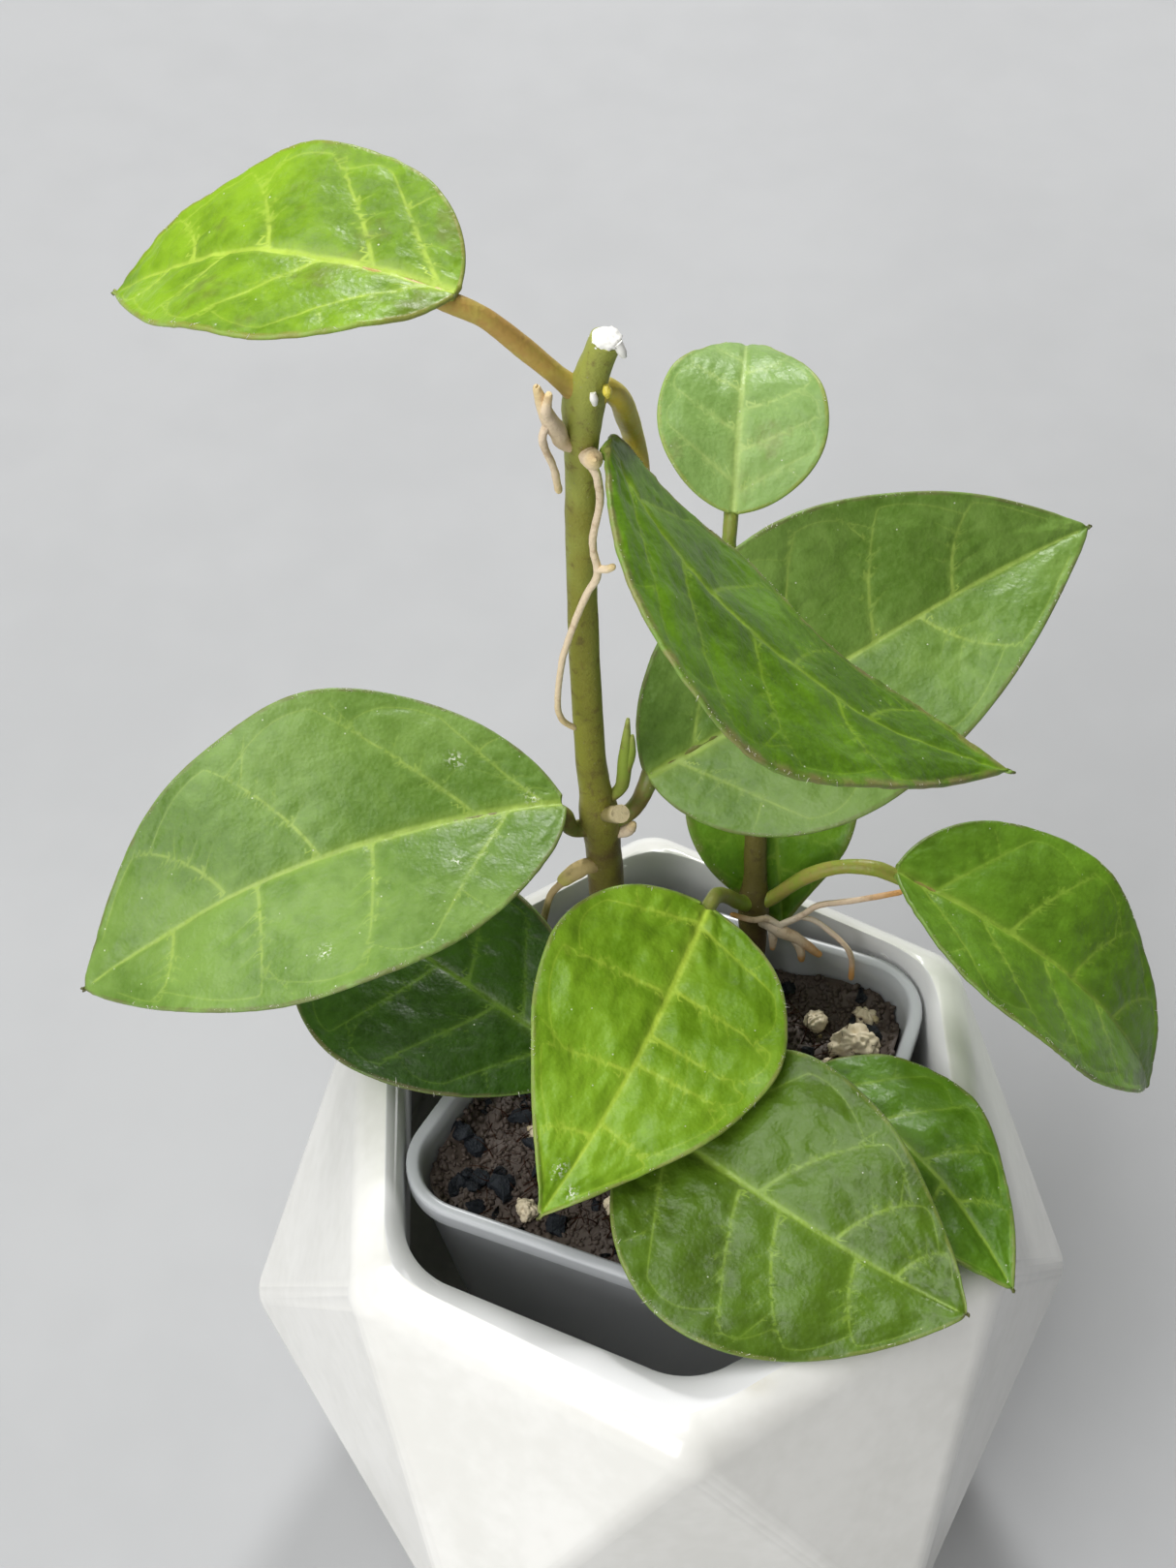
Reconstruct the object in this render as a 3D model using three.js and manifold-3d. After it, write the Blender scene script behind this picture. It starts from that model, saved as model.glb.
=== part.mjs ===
// Potted hoya: a wax plant with eleven leaves, in a small square grow pot that stands
// in a white six-sided ceramic planter. Millimetres, +Z up, -Y is the front.
// The origin is the middle of the planter's flat underside.
import * as THREE from 'three';
import { ConvexGeometry } from 'three/addons/geometries/ConvexGeometry.js';
import { mergeVertices } from 'three/addons/utils/BufferGeometryUtils.js';
import Module from 'manifold-3d';

const wasm = await Module();
wasm.setup();

// ---------------------------------------------------------------- driving dimensions

const SEAT_GAP = 0.3; // clearance between pieces that touch
const OVERCUT = 1; // how far a cutting solid runs past the face that it opens
const MERGE_DISTANCE = 1e-5;
const DEG = Math.PI / 180;

// The planter's form is the body round three rings of six balls. radius: from the axis to
// the balls' centres. height: of the centres. rounding: the balls' radius.
const PLANTER = {
  height: 86,
  turn: 1.75, // degrees that the six sides are turned about Z
  crest: { radius: 42, height: 78.4, rounding: 7.6 },
  belt: { radius: 55.5, height: 35, rounding: 6 },
  foot: { radius: 36, height: 4, rounding: 4 },
  bellyCrest: { radius: 36, height: 74, rounding: 2 },
  bellyBelt: { radius: 49.5, height: 35, rounding: 5 },
  bellyFoot: { radius: 31, height: 10, rounding: 3 },
};

// The planter's mouth: a six-sided hole with round corners and a broad round lip. narrow is
// its tightest line, a little off the axis, and lip the line where the lip is highest.
// radius: from the middle to a corner. frontStep: how far the front corner is drawn in.
const MOUTH = {
  narrow: { radius: 42.4, rounding: 11, middle: [0.4, 2.2], frontStep: 2.5 },
  lip: { radius: 46, rounding: 15, middle: [0, 0], frontStep: 0 },
  lipDepth: 5, // height of the lip line above the narrow line
  lipTurns: [0, 20, 40, 60, 80], // degrees round the lip
  arcSteps: 4,
};

// The grow pot's four top corners: centres of the corner arcs, from the front left one
// on, anticlockwise. The soft pot is pressed in where its back corner meets the planter.
const GROW_POT = {
  corners: [[-26.8, -5.8], [12.8, -21], [27.2, 18.1], [-4.9, 29.4]],
  cornerRadius: 9,
  rimHeight: 83.5,
  rimBand: 3.2, // height of the band round the rim
  rimStep: 0.8, // how far the band stands out from the wall
  rimEdge: 0.3, // bevel of the rim and of the step under the band
  wall: 1,
  underside: 7.3,
  footBevel: 1,
  footScale: 0.72, // size of the foot as a share of the rim's
  arcSteps: 6,
  drainHoles: 4,
  drainHoleRadius: 2.6,
  drainHoleRing: 11,
  drainHoleSides: 12,
};

// relief is the height of the soil's bumps, mound how far they rise on the whole.
const SOIL = { height: 77, relief: 1.1, mound: 0.2, rings: 6, seed: 7 };

// blunt rounds the outline at the base, end is left off at the base and the tip, and
// hookStart is where a hooked tip begins, all as shares of the length.
const BLADE = {
  thickness: 0.9, rows: 13, columns: 4, tipWidth: 0.4, blunt: 0.07, end: 0.012, hookStart: 0.86,
};

// keel: how far past the joint the stalk runs on under the midrib, as a share of the
// blade's length, with its radius as a share of the stalk's. cover: skin left over it.
const PETIOLE = { sides: 6, steps: 2, swell: 1.15, keel: [[0, 0.95], [0.11, 0.7], [0.26, 0.4]], cover: 0.25 };
const STEM = { sides: 10, steps: 2 };
const GROWTH = { sides: 6, steps: 2 };

// One leaf each. base: where the blade starts. heading, pitch and roll: how the line from
// base to tip lies, in degrees. length, left and right: the blade's size, with each
// half's own width. shoulder and taper: exponents of the outline towards base and tip.
// arch and sway: how far the midrib bows up and to the left at mid length. lift: how far
// each half rises from flat, in degrees. twist: turn from base to tip, in degrees.
// wave: height and count of the margin's waves. hook: how far the tip bends up. stalk:
// its radius. petiole: its way from the stem. joint: where it meets the blade from below.
const LEAVES = {
  leaf_upper_left: {
    stem: 'stem_main',
    base: [-24, 26, 208.3], heading: 155, pitch: -21, roll: -8, length: 46,
    left: 13.6, right: 14.9, shoulder: 0.59, taper: 1.1, arch: 7, skew: 0.05,
    sway: 0.9, liftLeft: 7, liftRight: 7, twist: -14,
    wave: 0.5, waves: 2.5, phase: 0.4, hook: 0.8, stalk: 1.15, joint: 0.035,
    petiole: [
      [-11.2, 27, 192.8], [-13.6, 26.8, 195.6], [-15, 26.6, 197.4], [-17.4, 26.5, 200.2],
      [-21.2, 26.3, 204.4],
    ],
  },
  leaf_upper_right: {
    stem: 'stem_main',
    base: [-8.1, 25.4, 187.1], heading: -19, pitch: -37, roll: -22, length: 62.2,
    left: 18.6, right: 20.4, shoulder: 0.59, taper: 1.16, arch: -4, skew: -0.3,
    sway: -6.3, liftLeft: -7, liftRight: -4, twist: 3,
    wave: 0.6, waves: 2.2, phase: 2.2, hook: 0, stalk: 1.3, joint: 0.16,
    petiole: [
      [-10.6, 27, 192], [-8.8, 27.8, 193], [-7.2, 29.2, 190.2], [-6.3, 33.2, 183.6],
      [-5.6, 35.8, 178.6], [-4.9, 36, 173.4], [-4.7, 32, 170], [-4.5, 27, 171.4], [-4.2, 22.6, 175],
    ],
  },
  leaf_lower_left: {
    stem: 'stem_main',
    base: [-14.3, 28, 118.9], heading: 196, pitch: -14, roll: -13, length: 68.4,
    left: 19.8, right: 21.4, shoulder: 0.7, taper: 0.93, arch: 8.3, skew: 0.1,
    sway: -1.7, liftLeft: 9, liftRight: 14, twist: -12,
    wave: 0.7, waves: 2.6, phase: 0.9, hook: 0, stalk: 1.2, joint: 0.035,
    petiole: [[-9.4, 30, 111.2], [-12.2, 29, 111.6], [-13.4, 28.3, 113.2], [-14.1, 28, 115.8]],
  },
  leaf_lower_right: {
    stem: 'stem_main',
    base: [-2.9, 31, 120.6], heading: 26, pitch: 14, roll: 28, length: 68.2,
    left: 21.1, right: 18.8, shoulder: 0.57, taper: 0.96, arch: 5.2, skew: 0,
    sway: 0.2, liftLeft: 22, liftRight: 10, twist: -25,
    wave: 0.6, waves: 2.4, phase: 1.6, hook: 0, stalk: 1.2, joint: 0.035,
    petiole: [[-8.6, 30, 112], [-5.8, 30.3, 113], [-4.3, 30.7, 114.8], [-3.2, 31, 118]],
  },
  leaf_rear_round: {
    stem: 'stem_rear',
    base: [8.3, 57, 143.4], heading: 84, pitch: 5, roll: 3, length: 30,
    left: 11, right: 11.7, shoulder: 0.57, taper: 1.09, arch: 7.2, skew: 0.08,
    sway: 0.4, liftLeft: 7, liftRight: 6, twist: -1,
    wave: 0.4, waves: 2.1, phase: 0.3, hook: 1.4, stalk: 1.0, joint: 0.035,
    petiole: [[8.5, 52, 137.4], [7.9, 54.6, 139], [8, 56, 141]],
  },
  leaf_front: {
    stem: 'stem_rear',
    base: [5, 20, 105.6], heading: 241, pitch: -12, roll: -19, length: 47.6,
    left: 17.2, right: 17.7, shoulder: 0.57, taper: 1.16, arch: 2.4, skew: 0.03,
    sway: 1.2, liftLeft: 6, liftRight: 7, twist: -5,
    wave: 0.9, waves: 3.4, phase: 0.5, hook: 0, stalk: 1.1, joint: 0.035,
    petiole: [
      [12.2, 30.2, 91.8], [10.4, 29.2, 93.4], [8.4, 27.5, 97.4], [6.8, 24.8, 101.6],
      [5.9, 22.6, 103.6],
    ],
  },
  leaf_right: {
    stem: 'stem_rear',
    base: [31.6, 28, 102.7], heading: -17, pitch: -43, roll: 1, length: 56.7,
    left: 17.4, right: 17, shoulder: 0.63, taper: 1.03, arch: 8.5, skew: 0.2,
    sway: -1.4, liftLeft: 13, liftRight: 15, twist: 13,
    wave: 0.6, waves: 2.3, phase: 1.1, hook: 0, stalk: 1.05, joint: 0.035,
    petiole: [
      [12.8, 30.4, 91.6], [15.1, 30.4, 92.8], [17.4, 30.2, 96], [20.1, 29.9, 99.2], [23.9, 29.3, 101.8],
      [28.3, 28.4, 102.7],
    ],
  },
  leaf_rear_hanging: {
    stem: 'stem_rear',
    base: [13.2, 46.5, 112], heading: -77, pitch: -58, roll: 4, length: 31.6,
    left: 12.3, right: 12.6, shoulder: 0.59, taper: 1.1, arch: 2.1, skew: 0.03,
    sway: 0.1, liftLeft: 7, liftRight: 9, twist: 3,
    wave: 0.4, waves: 2, phase: 0.2, hook: 0, stalk: 1.0, joint: 0.035,
    petiole: [[12.1, 39, 110.6], [12.4, 42, 112.8], [13, 44.6, 113.6]],
  },
  leaf_low_left: {
    stem: 'stem_short',
    base: [-10.4, 6, 87.6], heading: 142.5, pitch: 6, roll: -12, length: 49,
    left: 18.8, right: 14.7, shoulder: 0.75, taper: 0.62, arch: 6.8, skew: 0,
    sway: 2.5, liftLeft: 3, liftRight: 9, twist: -11,
    wave: 0.5, waves: 2.2, phase: 1.8, hook: 0, stalk: 1.1, joint: 0.035,
    petiole: [[-2, 4.7, 81.4], [-4.4, 5, 82.6], [-7, 5.4, 85]],
  },
  leaf_low_front: {
    stem: 'stem_short',
    base: [-4.3, -3.6, 91], heading: -34, pitch: -2, roll: 15, length: 49.7,
    left: 19, right: 20.9, shoulder: 0.58, taper: 0.91, arch: 3, skew: -0.14,
    sway: -1.2, liftLeft: 9, liftRight: 5, twist: 24,
    wave: 0.6, waves: 2.8, phase: 2.6, hook: 2.2, stalk: 1.1, joint: 0.035,
    petiole: [[-1.9, 4.4, 82.6], [-2.4, 2, 84], [-3.2, -0.4, 87.4]],
  },
  leaf_low_right: {
    stem: 'stem_short',
    base: [18.4, 4.7, 87.5], heading: -52, pitch: 0, roll: -6, length: 40.5,
    left: 12, right: 14.2, shoulder: 0.58, taper: 1.03, arch: 2.2, skew: 0.05,
    sway: 2.5, liftLeft: 7, liftRight: 6, twist: -4,
    wave: 0.5, waves: 2.4, phase: 0.8, hook: 0, stalk: 0.95, joint: 0.035,
    petiole: [[-1.8, 4.6, 81.4], [1.2, 5, 82.2], [7.5, 6, 83.6], [13.5, 5.8, 85.8]],
  },
};

// Stems: points up the middle with the radius at each. The first point is the foot,
// down in the soil; swollen nodes carry the leaves.
const STEMS = {
  stem_main: [
    [-7.7, 26.6, 66, 2.5], [-7.8, 27.6, 77, 2.5], [-8.1, 29, 88, 2.5], [-8.4, 29.8, 98, 2.5],
    [-8.9, 30.1, 107, 2.45], [-9.4, 29.9, 113.5, 2.75], [-9.9, 29.8, 119, 2.2], [-10.5, 29.5, 127, 2],
    [-11.2, 29, 147, 1.9], [-11.5, 28.3, 168.6, 1.8], [-11.4, 27.7, 183.2, 1.85],
    [-11.1, 27.1, 191.6, 2.35], [-10.3, 26.9, 195.6, 1.9], [-8.7, 26.5, 201.2, 1.75],
  ],
  stem_rear: [
    [13, 24.4, 66, 1.5], [13, 25.2, 77, 1.5], [12.9, 27, 83.4, 1.5], [12.6, 29, 88, 2.1],
    [12.5, 30.5, 91.4, 2.2], [12.6, 33, 95.5, 1.65], [12.5, 36, 103, 1.6], [12.2, 38.8, 110.2, 2],
    [11.4, 42.4, 118, 1.6], [10, 46.6, 126.6, 1.5], [8.8, 51, 136, 1.6], [8.4, 52.6, 138.4, 1.4],
  ],
  stem_short: [[-2, 5.6, 66, 1.9], [-2, 5.2, 77, 1.9], [-1.9, 4.6, 82.4, 2], [-1.8, 4.4, 84.6, 1.7]],
};

// Small growths, each a set of tapering strands that run together. The first strand of
// each starts inside its stem and is cut to fit round it.
const GROWTHS = {
  shoot_bud: [
    [[-8.8, 30, 116.4, 0.8], [-6.7, 29.7, 119.4, 0.85], [-6.2, 29.1, 123, 0.95], [-6.1, 28.6, 128, 0.85],
      [-5.8, 28.2, 135.6, 0.3]],
    [[-6.1, 28.8, 124, 0.7], [-5.3, 28.4, 128.5, 0.6], [-5.2, 28.2, 132.4, 0.3]],
  ],
  pruned_stub: [[[-9, 28.9, 115.2, 1.1], [-7.2, 26.6, 118, 1.2], [-6.6, 25.6, 119.5, 1.25]]],
  aerial_root_left: [
    [[-11.8, 27.4, 185, 0.9], [-13.4, 26, 187, 0.9], [-13.9, 24.6, 190, 1], [-14.9, 23.2, 193.4, 0.9],
      [-15.9, 23, 197.6, 0.45]],
    [[-14.6, 23.4, 192.8, 0.7], [-15, 22.4, 195, 0.6], [-14.7, 22.2, 197.4, 0.4]],
    [[-14.7, 23.2, 193, 0.5], [-15.5, 22.8, 190.4, 0.45], [-14.4, 23.6, 185.5, 0.42],
      [-13.9, 24.2, 181.5, 0.4]],
  ],
  aerial_root_long: [
    [[-11, 27, 184.6, 1], [-10.4, 25.2, 185.4, 1.15], [-10.1, 24, 186.2, 1.15], [-10, 23.2, 187, 0.8]],
    [[-10.2, 23.6, 185.8, 0.6], [-9.6, 23.2, 184, 0.5], [-9.4, 23.6, 179.8, 0.45],
      [-10.2, 23.8, 173.2, 0.42], [-9.6, 23.7, 168.3, 0.48], [-11, 23.9, 164.2, 0.44],
      [-12.7, 24.2, 157.7, 0.42], [-13.9, 24.4, 151.8, 0.42], [-14.5, 24.5, 144, 0.4],
      [-14, 24.6, 140.6, 0.4], [-12.6, 25, 138.5, 0.36]],
    [[-9.8, 23.8, 169, 0.45], [-8.6, 23, 169.8, 0.45], [-7.9, 22.8, 170.4, 0.4]],
  ],
  root_nub: [[[-8.2, 29.8, 109.6, 0.9], [-5.6, 29.4, 110.6, 0.9], [-4.8, 29.1, 112.4, 0.5]]],
  stem_foot_root: [
    [[-9.2, 29.4, 102.6, 1], [-11.1, 28, 104.2, 1.15], [-12.7, 27.6, 103.4, 1.2], [-14.4, 27.4, 101.6, 0.9]],
    [[-14, 27.3, 102, 0.6], [-15.9, 26.4, 100.1, 0.5], [-16.9, 26, 95.9, 0.5], [-17.1, 25.8, 93.1, 0.45],
      [-16.4, 25.5, 89.8, 0.4]],
  ],
  rear_stem_roots: [
    [[13.1, 29, 89.6, 1], [14.6, 27.5, 90.6, 1], [16.1, 26.4, 90.3, 0.95], [18.1, 25.8, 89.6, 0.85],
      [20, 25.2, 88.3, 0.7], [21.7, 24.6, 86.9, 0.5]],
    [[18.1, 25.8, 89.4, 0.7], [19, 25, 87.8, 0.65], [19.3, 24.4, 86, 0.45]],
    [[15, 27, 90.4, 0.7], [15.2, 26.2, 88.4, 0.6], [15.2, 25.8, 86.8, 0.4]],
    [[16.4, 26.6, 91, 0.5], [14.2, 27.2, 92.1, 0.45], [12, 26.8, 92.5, 0.42], [9.4, 27.2, 93.2, 0.36]],
    [[16, 26.7, 91.2, 0.5], [19.1, 27.4, 92.7, 0.45], [21.3, 27.7, 94.7, 0.45], [25.9, 27.9, 95.5, 0.42],
      [32.2, 28, 97.3, 0.4]],
    [[19, 27.3, 92.5, 0.4], [21.6, 27, 91.3, 0.42], [25.1, 25, 88.9, 0.42], [26.4, 24.5, 85.9, 0.42],
      [26.6, 23.6, 82.4, 0.4]],
  ],
};

const SAP_CAP = {
  radius: 1.85, height: 1, sides: 12, rings: 8, drip: [[-7.5, 25.6, 201.5, 0.7], [-6.7, 25.2, 199.6, 0.5]],
};

// Pale stones in the soil: place, mean radius and a turn that varies their form.
const STONES = [
  [27, 15.6, 3.2, 0.3], [23, 11, 2.3, 1.2], [28.8, 20.4, 1.6, 2.1], [21.6, 19.6, 1.7, 0.9],
  [-19.6, -10, 1.7, 1.7], [-17.6, 1.6, 2, 2.6], [-7.6, -9.4, 1.5, 0.6], [4.6, 18.4, 2.2, 3],
];
const STONE = { bulge: 0.16, flatness: 0.8, detail: 1 };

const COLOURS = {
  ceramic: 0xe9e9e4, plastic: 0x8d9094, soil: 0x1d1611, stemGreen: 0x5d6a34, root: 0xb39a7c,
  leaf: 0x3f7d24, leafLight: 0x86b143, bud: 0x6f9a35, sap: 0xf3f2ea, stone: 0xcdb78c,
};

// ---------------------------------------------------------------- solids and joins

// Merges shared vertices and returns the mesh as a solid for the boolean operations.
function toSolid(geometry) {
  const plain = geometry.clone();
  plain.deleteAttribute('normal');
  plain.deleteAttribute('uv');
  const merged = mergeVertices(plain, MERGE_DISTANCE);
  const triVerts = Uint32Array.from(merged.index.array);
  const vertProperties = Float32Array.from(merged.attributes.position.array);
  return new wasm.Manifold(new wasm.Mesh({ numProp: 3, vertProperties, triVerts }));
}

function toGeometry(solid) {
  const mesh = solid.getMesh();
  const geometry = new THREE.BufferGeometry();
  geometry.setAttribute('position', new THREE.BufferAttribute(mesh.vertProperties, 3));
  geometry.setIndex(new THREE.BufferAttribute(mesh.triVerts, 1));
  return geometry;
}

function join(geometries) {
  const solids = geometries.map(toSolid);
  return toGeometry(solids.slice(1).reduce((sum, next) => sum.add(next), solids[0]));
}

function subtract(geometry, ...cutters) {
  return toGeometry(cutters.reduce((rest, cutter) => rest.subtract(toSolid(cutter)), toSolid(geometry)));
}

// Skins a stack of closed rings with equal point counts and closes both ends.
function loft(rings) {
  const count = rings[0].length;
  const points = rings.flat();
  const index = [];
  for (let r = 0; r < rings.length - 1; r += 1) {
    for (let i = 0; i < count; i += 1) {
      const next = (i + 1) % count;
      const a = r * count + i;
      const b = r * count + next;
      index.push(a, b, b + count, a, b + count, a + count);
    }
  }
  const centre = (ring) => ring.reduce((sum, p) => sum.add(p), new THREE.Vector3()).divideScalar(count);
  const low = points.length;
  const top = (rings.length - 1) * count;
  points.push(centre(rings[0]), centre(rings[rings.length - 1]));
  for (let i = 0; i < count; i += 1) {
    const next = (i + 1) % count;
    index.push(low, next, i);
    index.push(low + 1, top + i, top + next);
  }
  const geometry = new THREE.BufferGeometry().setFromPoints(points);
  geometry.setIndex(index);
  return geometry;
}

// A round strand through [x, y, z, radius] stations, on a smooth curve.
function strand(stations, { sides, steps }) {
  const curve = new THREE.CatmullRomCurve3(stations.map(([x, y, z]) => new THREE.Vector3(x, y, z)));
  const spans = stations.length - 1;
  const side = new THREE.Vector3(1, 0, 0);
  const rings = [];
  for (let k = 0; k <= spans * steps; k += 1) {
    const u = k / (spans * steps);
    const span = Math.min(Math.floor(u * spans), spans - 1);
    const blend = u * spans - span;
    const radius = THREE.MathUtils.lerp(stations[span][3], stations[span + 1][3], blend);
    const middle = curve.getPoint(u);
    const along = curve.getTangent(u);
    side.addScaledVector(along, -side.dot(along)).normalize();
    const other = new THREE.Vector3().crossVectors(along, side);
    rings.push(Array.from({ length: sides }, (_, i) => {
      const angle = (i / sides) * 2 * Math.PI;
      return middle.clone()
        .addScaledVector(side, radius * Math.cos(angle))
        .addScaledVector(other, radius * Math.sin(angle));
    }));
  }
  return loft(rings);
}

// A stem made thicker by the seat's clearance, to cut its hole or a neighbour's foot.
function grown(stations) {
  const [x, y, z] = stations[0];
  const thicker = stations.map(([px, py, pz, radius]) => [px, py, pz, radius + SEAT_GAP]);
  return strand([[x, y, z - SEAT_GAP, thicker[0][3]], ...thicker], STEM);
}

// Cuts a growth's foot to fit round its stem, with the seat's clearance.
function seatOnStem(geometry, stemName) {
  return subtract(geometry, grown(STEMS[stemName]));
}

// A repeatable smooth roughness from a few crossed waves, between -1 and 1.
function roughness(x, y, seed) {
  return 0.5 * Math.sin(0.9 * x + 1.7 * seed) * Math.cos(0.8 * y - seed)
    + 0.3 * Math.sin(2.1 * x - 1.3 * y + seed)
    + 0.2 * Math.cos(3.7 * y + 2.9 * x + 2 * seed);
}

// ---------------------------------------------------------------- planter

function hexagonCorners(radius, z, halfStep) {
  return Array.from({ length: 6 }, (_, i) => {
    const angle = (PLANTER.turn - 90 + (i + halfStep) * 60) * DEG;
    return new THREE.Vector3(radius * Math.cos(angle), radius * Math.sin(angle), z);
  });
}

// The smallest convex body round three rings of balls. The belt is turned by half a side.
function roundedHull(crest, belt, foot) {
  const points = [];
  for (const ring of [crest, belt, foot]) {
    const ball = mergeVertices(new THREE.SphereGeometry(ring.rounding, 12, 6)).attributes.position;
    for (const centre of hexagonCorners(ring.radius, ring.height, ring === belt ? 0.5 : 0)) {
      for (let i = 0; i < ball.count; i += 1) {
        const p = new THREE.Vector3(ball.getX(i), ball.getZ(i), ball.getY(i));
        points.push(p.add(centre));
      }
    }
  }
  return new ConvexGeometry(points);
}

// One line round the planter's mouth.
function mouthLine({ radius, rounding, middle, frontStep }) {
  const line = [];
  hexagonCorners(radius - rounding / Math.cos(30 * DEG), 0, 0).forEach((corner, i) => {
    const inwards = i === 0 ? frontStep : 0;
    const centre = new THREE.Vector3(middle[0], middle[1] + inwards, 0).add(corner);
    for (let k = 0; k <= MOUTH.arcSteps; k += 1) {
      const angle = (PLANTER.turn - 120 + i * 60 + (60 * k) / MOUTH.arcSteps) * DEG;
      const out = new THREE.Vector3(Math.cos(angle), Math.sin(angle), 0);
      line.push(centre.clone().addScaledVector(out, rounding));
    }
  });
  return line;
}

function planter() {
  const { height, crest, belt, foot, bellyCrest, bellyBelt, bellyFoot } = PLANTER;
  const narrow = mouthLine(MOUTH.narrow);
  const lip = mouthLine(MOUTH.lip);
  const ring = (share, z) => narrow.map((p, i) => p.clone().lerp(lip[i], share).setZ(z));
  const neck = [ring(0, belt.height)];
  for (const turn of MOUTH.lipTurns) {
    const drop = MOUTH.lipDepth * (1 - Math.sin(turn * DEG));
    neck.push(ring(1 - Math.cos(turn * DEG), height - drop));
  }
  neck.push(ring(1, height + OVERCUT));
  return subtract(roundedHull(crest, belt, foot), loft(neck), roundedHull(bellyCrest, bellyBelt, bellyFoot));
}

// ---------------------------------------------------------------- grow pot and soil

function potMiddle() {
  const { corners } = GROW_POT;
  const sum = corners.reduce(([sx, sy], [x, y]) => [sx + x, sy + y], [0, 0]);
  return sum.map((value) => value / corners.length);
}

// The grow pot's outline, `inset` in from its wall and drawn in by `scale`, at height z.
function potRing(z, inset, scale) {
  const { corners, cornerRadius, arcSteps } = GROW_POT;
  const [midX, midY] = potMiddle();
  const ring = [];
  corners.forEach(([x, y], i) => {
    const before = corners.at(i - 1);
    const after = corners[(i + 1) % corners.length];
    const start = Math.atan2(y - before[1], x - before[0]) - Math.PI / 2;
    const end = Math.atan2(after[1] - y, after[0] - x) - Math.PI / 2;
    const turn = THREE.MathUtils.euclideanModulo(end - start, 2 * Math.PI);
    for (let k = 0; k <= arcSteps; k += 1) {
      const angle = start + (turn * k) / arcSteps;
      const radius = cornerRadius * scale - inset;
      ring.push(new THREE.Vector3(
        midX + (x - midX) * scale + radius * Math.cos(angle),
        midY + (y - midY) * scale + radius * Math.sin(angle),
        z,
      ));
    }
  });
  return ring;
}

// How far the pot's wall is drawn in at height z.
function potScale(z) {
  const { underside, rimHeight, footScale } = GROW_POT;
  return THREE.MathUtils.mapLinear(z, underside, rimHeight, footScale, 1);
}

function drainDrills() {
  const { underside, wall, drainHoles, drainHoleRadius, drainHoleRing, drainHoleSides } = GROW_POT;
  const [midX, midY] = potMiddle();
  const depth = 2 * (wall + OVERCUT);
  return Array.from({ length: drainHoles }, (_, i) => {
    const drill = new THREE.CylinderGeometry(drainHoleRadius, drainHoleRadius, depth, drainHoleSides);
    const angle = ((i + 0.5) / drainHoles) * 2 * Math.PI;
    const across = drainHoleRing * Math.cos(angle);
    const away = drainHoleRing * Math.sin(angle);
    drill.rotateX(Math.PI / 2);
    drill.translate(midX + across, midY + away, underside);
    return drill;
  });
}

function growPot() {
  const { rimHeight, rimBand, rimStep, rimEdge, wall, underside, footBevel } = GROW_POT;
  const bandFoot = rimHeight - rimBand;
  const floor = underside + wall;
  const outside = loft([
    potRing(underside, footBevel, potScale(underside)),
    potRing(underside + footBevel, 0, potScale(underside + footBevel)),
    potRing(bandFoot - rimEdge, rimStep, potScale(bandFoot)),
    potRing(bandFoot, 0, 1),
    potRing(rimHeight - rimEdge, 0, 1),
    potRing(rimHeight, rimEdge, 1),
  ]);
  const inside = loft([
    potRing(floor, wall + footBevel, potScale(underside)),
    potRing(floor + footBevel, wall, potScale(underside + footBevel)),
    potRing(bandFoot, rimStep + wall, potScale(bandFoot)),
    potRing(rimHeight + OVERCUT, rimStep + wall, 1),
  ]);
  return subtract(outside, inside, ...drainDrills());
}

// A stone that is half sunk in the soil, made larger all round by `grow`.
function stoneGeometry([x, y, radius, turn], grow) {
  const ball = new THREE.IcosahedronGeometry(1, STONE.detail);
  const stone = mergeVertices(ball.deleteAttribute('uv').deleteAttribute('normal'));
  const points = stone.attributes.position;
  const upright = new THREE.Vector3(0, 0, 1);
  for (let i = 0; i < points.count; i += 1) {
    const p = new THREE.Vector3().fromBufferAttribute(points, i);
    const bulge = 1 + STONE.bulge * roughness(2 * p.x + turn, 2 * p.y - p.z, turn);
    p.multiplyScalar(radius * bulge + grow);
    p.z *= STONE.flatness;
    p.applyAxisAngle(upright, turn);
    points.setXYZ(i, p.x + x, p.y + y, p.z + SOIL.height);
  }
  return stone;
}

// The soil fills the grow pot and has a hole for each stem and stone.
function soil() {
  const { height, relief, mound, rings, seed } = SOIL;
  const { wall, underside, rimStep, footBevel } = GROW_POT;
  const foot = underside + wall + SEAT_GAP;
  const inset = wall + SEAT_GAP;
  const top = potRing(height, inset + rimStep, potScale(height));
  const middle = new THREE.Vector3(...potMiddle(), height);
  const stack = [
    potRing(foot, inset + footBevel, potScale(underside)),
    potRing(foot + footBevel, inset, potScale(underside + footBevel)),
    top,
  ];
  for (let r = 1; r < rings; r += 1) {
    stack.push(top.map((p) => {
      const q = p.clone().lerp(middle, r / rings);
      q.z += relief * (roughness(q.x, q.y, seed) + mound);
      return q;
    }));
  }
  const stones = STONES.map((stone) => stoneGeometry(stone, SEAT_GAP));
  return subtract(loft(stack), ...stones, ...Object.values(STEMS).map(grown));
}

// ---------------------------------------------------------------- leaves

// The unit vectors of a blade: along the midrib, to the left half, and up from the face.
function bladeAxes({ heading, pitch, roll }) {
  const h = heading * DEG;
  const p = pitch * DEG;
  const along = new THREE.Vector3(Math.cos(p) * Math.cos(h), Math.cos(p) * Math.sin(h), Math.sin(p));
  const left = new THREE.Vector3(-Math.sin(h), Math.cos(h), 0).applyAxisAngle(along, roll * DEG);
  const up = new THREE.Vector3().crossVectors(along, left);
  return { along, left, up };
}

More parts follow.
